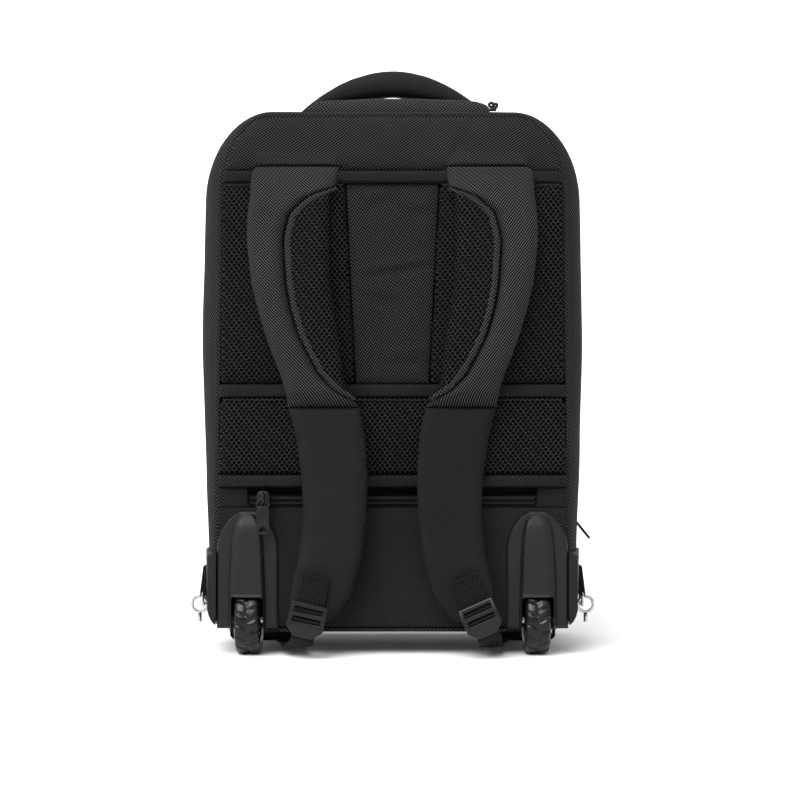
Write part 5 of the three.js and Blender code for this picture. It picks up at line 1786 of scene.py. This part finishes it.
# Outline of the guard's lip beside the housing, as distance from the bag's middle and height
GUARD_LIP = (
    (0.1589, 0.0905), (0.1652, 0.0905), (0.1663, 0.0892), (0.1663, 0.041), (0.165, 0.0358), (0.1625, 0.0308),
    (0.1589, 0.0272),
)


def housing_reach(z):
    if z <= ARCH_SPRING:
        return HOUSING_HALF
    share = clamp((z - ARCH_SPRING) / (HOUSING_TOP + 0.0002 - ARCH_SPRING))
    return HOUSING_HALF * math.sqrt(1 - share * share)


def housing_face(side):
    """Depth of a housing's front at a place, with the tunnel and the lip of the wheel's opening."""
    def face(x, z, edge):
        flange = HOUSING_PROUD * mix(0.25, 1.0, dome(edge, 0.0032))
        off = side * (x - side * WHEEL_X)
        outboard, inboard, share = linear(TUNNEL_ROWS, z)
        top = dome(TUNNEL_ROWS[-1][0] - z, 0.018)
        rise = share * top * dome(outboard - off, 0.0085) * dome(inboard + off, 0.0036)
        opening = max(abs(off) - WELL_HALF, z - OPENING_TOP)
        lip = 0.0009 * math.exp(-((max(opening, 0.0) / 0.0011) ** 2))
        return -flange - TUNNEL_PROUD * rise - lip

    return face


def wheel_room(side):
    """The room cut out around a wheel, rounded at both sides, and open below."""
    rows = ((-1.0, 0.031), (-0.95, 0.0328), (-0.83, 0.034), (0.83, 0.034), (0.95, 0.0328), (1.0, 0.031))
    return loft("wheel_room", [wheel_arch(side * WHEEL_X + x * WELL_HALF, radius, 28) for x, radius in rows])


class BACKPACK_OT_housings(bpy.types.Operator):
    """Moulded wheel housings, corner guards and feet"""

    bl_idname = "backpack.housings"
    bl_label = "Housings, guards and feet"

    def execute(self, context):
        for side, name in ((-1, "left"), (1, "right")):
            middle = side * WHEEL_X
            edges = (lambda z: middle - housing_reach(z), lambda z: middle + housing_reach(z))
            rows = (HOUSING_FOOT, HOUSING_TOP, housing_face(side), PANEL_BACK, 96, 150)
            front = panel("housing_front", *edges, *rows)
            cut_with(front, wheel_room(side))
            shell = softened("housing_shell", f"wheel_housing_{name}", 0.0006, 2, 25)
            half = HOUSING_HALF * 1.2
            low, high = SEAM_Y - 0.05, SEAM_Y + PANEL_BACK - 0.0004
            corners = [(middle - half, 0.0), (middle + half, 0.0), (middle + half, 0.2), (middle - half, 0.2)]
            cut_with(shell, loft("front_half", [[(x, y, z) for x, z in corners] for y in (low, high)]))
            housing = join_pieces(f"housing_{name}", [front, shell])
            finish_piece(housing, "housing plastic", [f"wheel_housing_{name}"], "plastic", hard=35)
            lip = rounded(extruded("lip", [(side * x, z) for x, z in GUARD_LIP], -0.0066, -0.0022), 0.001)
            shell = softened("shell", f"corner_guard_{name}", 0.0009, 3, 35)
            guard = join_pieces(f"guard_{name}", [shell, lip])
            finish_piece(guard, "guard plastic", [f"corner_guard_{name}"], "plastic", hard=35)
            hard_piece(f"foot_{name}", f"front_foot_{name}", "guard plastic", "plastic", (0.001, 3))
            hard_piece(f"pin_{name}", f"axle_{name}", "nickel", "steel", (0.0004, 2))
        return {"FINISHED"}


class BACKPACK_OT_wheels(bpy.types.Operator):
    """Rubber tyres with a cut tread, on moulded hubs"""

    bl_idname = "backpack.wheels"
    bl_label = "Wheels"

    def execute(self, context):
        blocks = context.scene.backpack_sizes.tread_blocks
        turns = blocks * 14
        profile = [
            (-0.86, 0.0203), (-0.93, 0.0225), (-0.99, 0.0248), (-1.0, 0.0258), (-0.97, 0.0275),
            (-0.9, 0.0292),
            (-0.8, 0.0302), (-0.66, 0.0308), (-0.5, 0.031), (-0.34, 0.031), (-0.17, 0.031), (-0.05, 0.031),
            (0.05, 0.031), (0.17, 0.031), (0.34, 0.031), (0.5, 0.031), (0.66, 0.0308), (0.8, 0.0302),
            (0.9, 0.0292), (0.97, 0.0275), (1.0, 0.0258), (0.99, 0.0248), (0.93, 0.0225), (0.86, 0.0203),
        ]
        for side, name in ((-1, "left"), (1, "right")):
            rings = []
            for i in range(turns):
                angle = i / turns * math.tau
                ring = []
                for across, radius in profile:
                    cut = 0.0
                    if radius > 0.0285:
                        phase = (i / turns * blocks + (0.5 if across > 0 else 0.0) + abs(across) * 0.45) % 1.0
                        near = min(phase, 1 - phase)
                        cut = 0.0013 * ease((0.11 - near) / 0.05)
                        if abs(across) < 0.08:
                            cut = max(cut, 0.0009)
                    x = side * WHEEL_X + across * WHEEL_HALF
                    size = radius - cut
                    ring.append((x, WHEEL_Y + math.cos(angle) * size, WHEEL_Z + math.sin(angle) * size))
                rings.append(ring)
            tyre = loft_closed(f"tyre_{name}", rings)
            finish_piece(tyre, "tyre rubber", [f"wheel_tyre_{name}"], "tyre", body=f"wheel_{name}", hard=50)
            wheel = f"wheel_{name}"
            hard_piece(f"hub_{name}", f"wheel_hub_{name}", "hub plastic", "hub", (0.0005, 2), body=wheel)
        return {"FINISHED"}


class BACKPACK_OT_hooks(bpy.types.Operator):
    """Side loops of folded webbing with their D-rings and snap hooks"""

    bl_idname = "backpack.hooks"
    bl_label = "Side loops and hooks"

    def execute(self, context):
        for side, name in ((-1, "left"), (1, "right")):
            hard_piece(f"loop_{name}", f"side_loop_{name}", "webbing", "webbing", (0.0004, 2))
            hard_piece(f"ring_{name}", f"d_ring_{name}", "nickel", "steel", (0.0004, 2, 20), hard=60)
            hard_piece(f"hook_{name}", f"snap_hook_{name}", "nickel", "steel", (0.0004, 2, 20), hard=60)
        return {"FINISHED"}


class BACKPACK_OT_stage(bpy.types.Operator):
    """Pale floor, soft studio light and the camera"""

    bl_idname = "backpack.stage"
    bl_label = "Studio"

    def execute(self, context):
        scene = context.scene
        reach = 30.0
        rows = [(-reach, 0.0), (-1.0, 0.0), (0.0, 0.0), (3.5, 0.0)]
        for a in range(1, 13):
            turn = a / 12 * math.pi / 2
            rows.append((3.5 + 1.2 * math.sin(turn), 1.2 - 1.2 * math.cos(turn)))
        rows.append((4.7, 2.4))
        points = []
        for y, z in rows:
            points += [(-reach, y, z), (reach, y, z)]
        faces = [(i, i + 1, i + 3, i + 2) for i in range(0, len(points) - 2, 2)]
        mesh = bpy.data.meshes.new("studio_floor")
        mesh.from_pydata(points, [], faces)
        floor = linked("studio_floor", mesh)
        for face in mesh.polygons:
            face.use_smooth = True
        mesh.materials.append(material("studio floor"))

        world = bpy.data.worlds.new("studio light")
        scene.world = world
        world.use_nodes = True
        tree = world.node_tree
        background = tree.nodes["Background"]
        background.inputs["Color"].default_value = (1.0, 1.0, 1.0, 1.0)
        way = tree.nodes.new("ShaderNodeTexCoord").outputs["Generated"]
        ways = add_node(tree, "ShaderNodeSeparateXYZ", {0: way}).outputs
        fall = add_node(
            tree,
            "ShaderNodeMapRange",
            {"Value": ways[2], "From Min": 0.02, "From Max": 0.6, "To Min": 0.14, "To Max": 1.65},
            interpolation_type="SMOOTHSTEP",
        )
        leftward = maths(tree, "MULTIPLY_ADD", ways[0], -0.48, 0.95)
        behind = add_node(
            tree,
            "ShaderNodeMapRange",
            {"Value": ways[1], "From Min": 0.05, "From Max": 0.75, "To Min": 1.0, "To Max": 0.1},
        )
        light = maths(tree, "MULTIPLY", fall.outputs[0], maths(tree, "MULTIPLY", leftward, behind.outputs[0]))
        seen = maths(tree, "MULTIPLY", tree.nodes.new("ShaderNodeLightPath").outputs["Is Camera Ray"], 1.1)
        tree.links.new(maths(tree, "MAXIMUM", light, seen), background.inputs["Strength"])

        data = bpy.data.lights.new("key", "SUN")
        data.energy = 3.2
        data.angle = math.radians(40)
        key = linked("key", data)
        key.rotation_euler = Vector((0.3, 0.68, -0.78)).to_track_quat("-Z", "Y").to_euler()

        data = bpy.data.cameras.new("camera")
        data.lens = 80.0
        data.sensor_width = 36.0
        data.clip_start = 0.05
        data.clip_end = 50.0
        camera = linked("camera", data)
        camera.location = (0.00675, -1.668, 0.2295)
        camera.rotation_euler = (math.pi / 2, 0.0, 0.0)
        scene.camera = camera
        scene.view_settings.view_transform = "Standard"
        scene.view_settings.look = "None"
        return {"FINISHED"}


OPERATORS = (
    BACKPACK_OT_stage,
    BACKPACK_OT_side_wall,
    BACKPACK_OT_front,
    BACKPACK_OT_back_pads,
    BACKPACK_OT_yoke,
    BACKPACK_OT_tapes,
    BACKPACK_OT_lower_panel,
    BACKPACK_OT_zips,
    BACKPACK_OT_straps,
    BACKPACK_OT_webbing,
    BACKPACK_OT_handle,
    BACKPACK_OT_trolley_cover,
    BACKPACK_OT_housings,
    BACKPACK_OT_wheels,
    BACKPACK_OT_hooks,
)


class BACKPACK_PT_pieces(bpy.types.Panel):
    """Lists the backpack's colours, sizes and pieces"""

    bl_idname = "BACKPACK_PT_pieces"
    bl_label = "Wheeled backpack"
    bl_space_type = "VIEW_3D"
    bl_region_type = "UI"
    bl_category = "Backpack"

    def draw(self, context):
        layout = self.layout
        for group in (context.scene.backpack_sizes, context.scene.backpack_colours):
            column = layout.column(align=True)
            for name in group.bl_rna.properties.keys():
                if name not in ("rna_type", "name"):
                    column.prop(group, name)
        column = layout.column(align=True)
        for operator in OPERATORS:
            column.operator(operator.bl_idname)


CLASSES = (BackpackColours, BackpackSizes, *OPERATORS, BACKPACK_PT_pieces)


def register():
    for item in CLASSES:
        bpy.utils.register_class(item)
    bpy.types.Scene.backpack_colours = bpy.props.PointerProperty(type=BackpackColours)
    bpy.types.Scene.backpack_sizes = bpy.props.PointerProperty(type=BackpackSizes)


def unregister():
    del bpy.types.Scene.backpack_sizes
    del bpy.types.Scene.backpack_colours
    for item in reversed(CLASSES):
        bpy.utils.unregister_class(item)


def main():
    register()
    for operator in OPERATORS:
        space, name = operator.bl_idname.split(".")
        getattr(getattr(bpy.ops, space), name)()


if __name__ == "__main__":
    main()
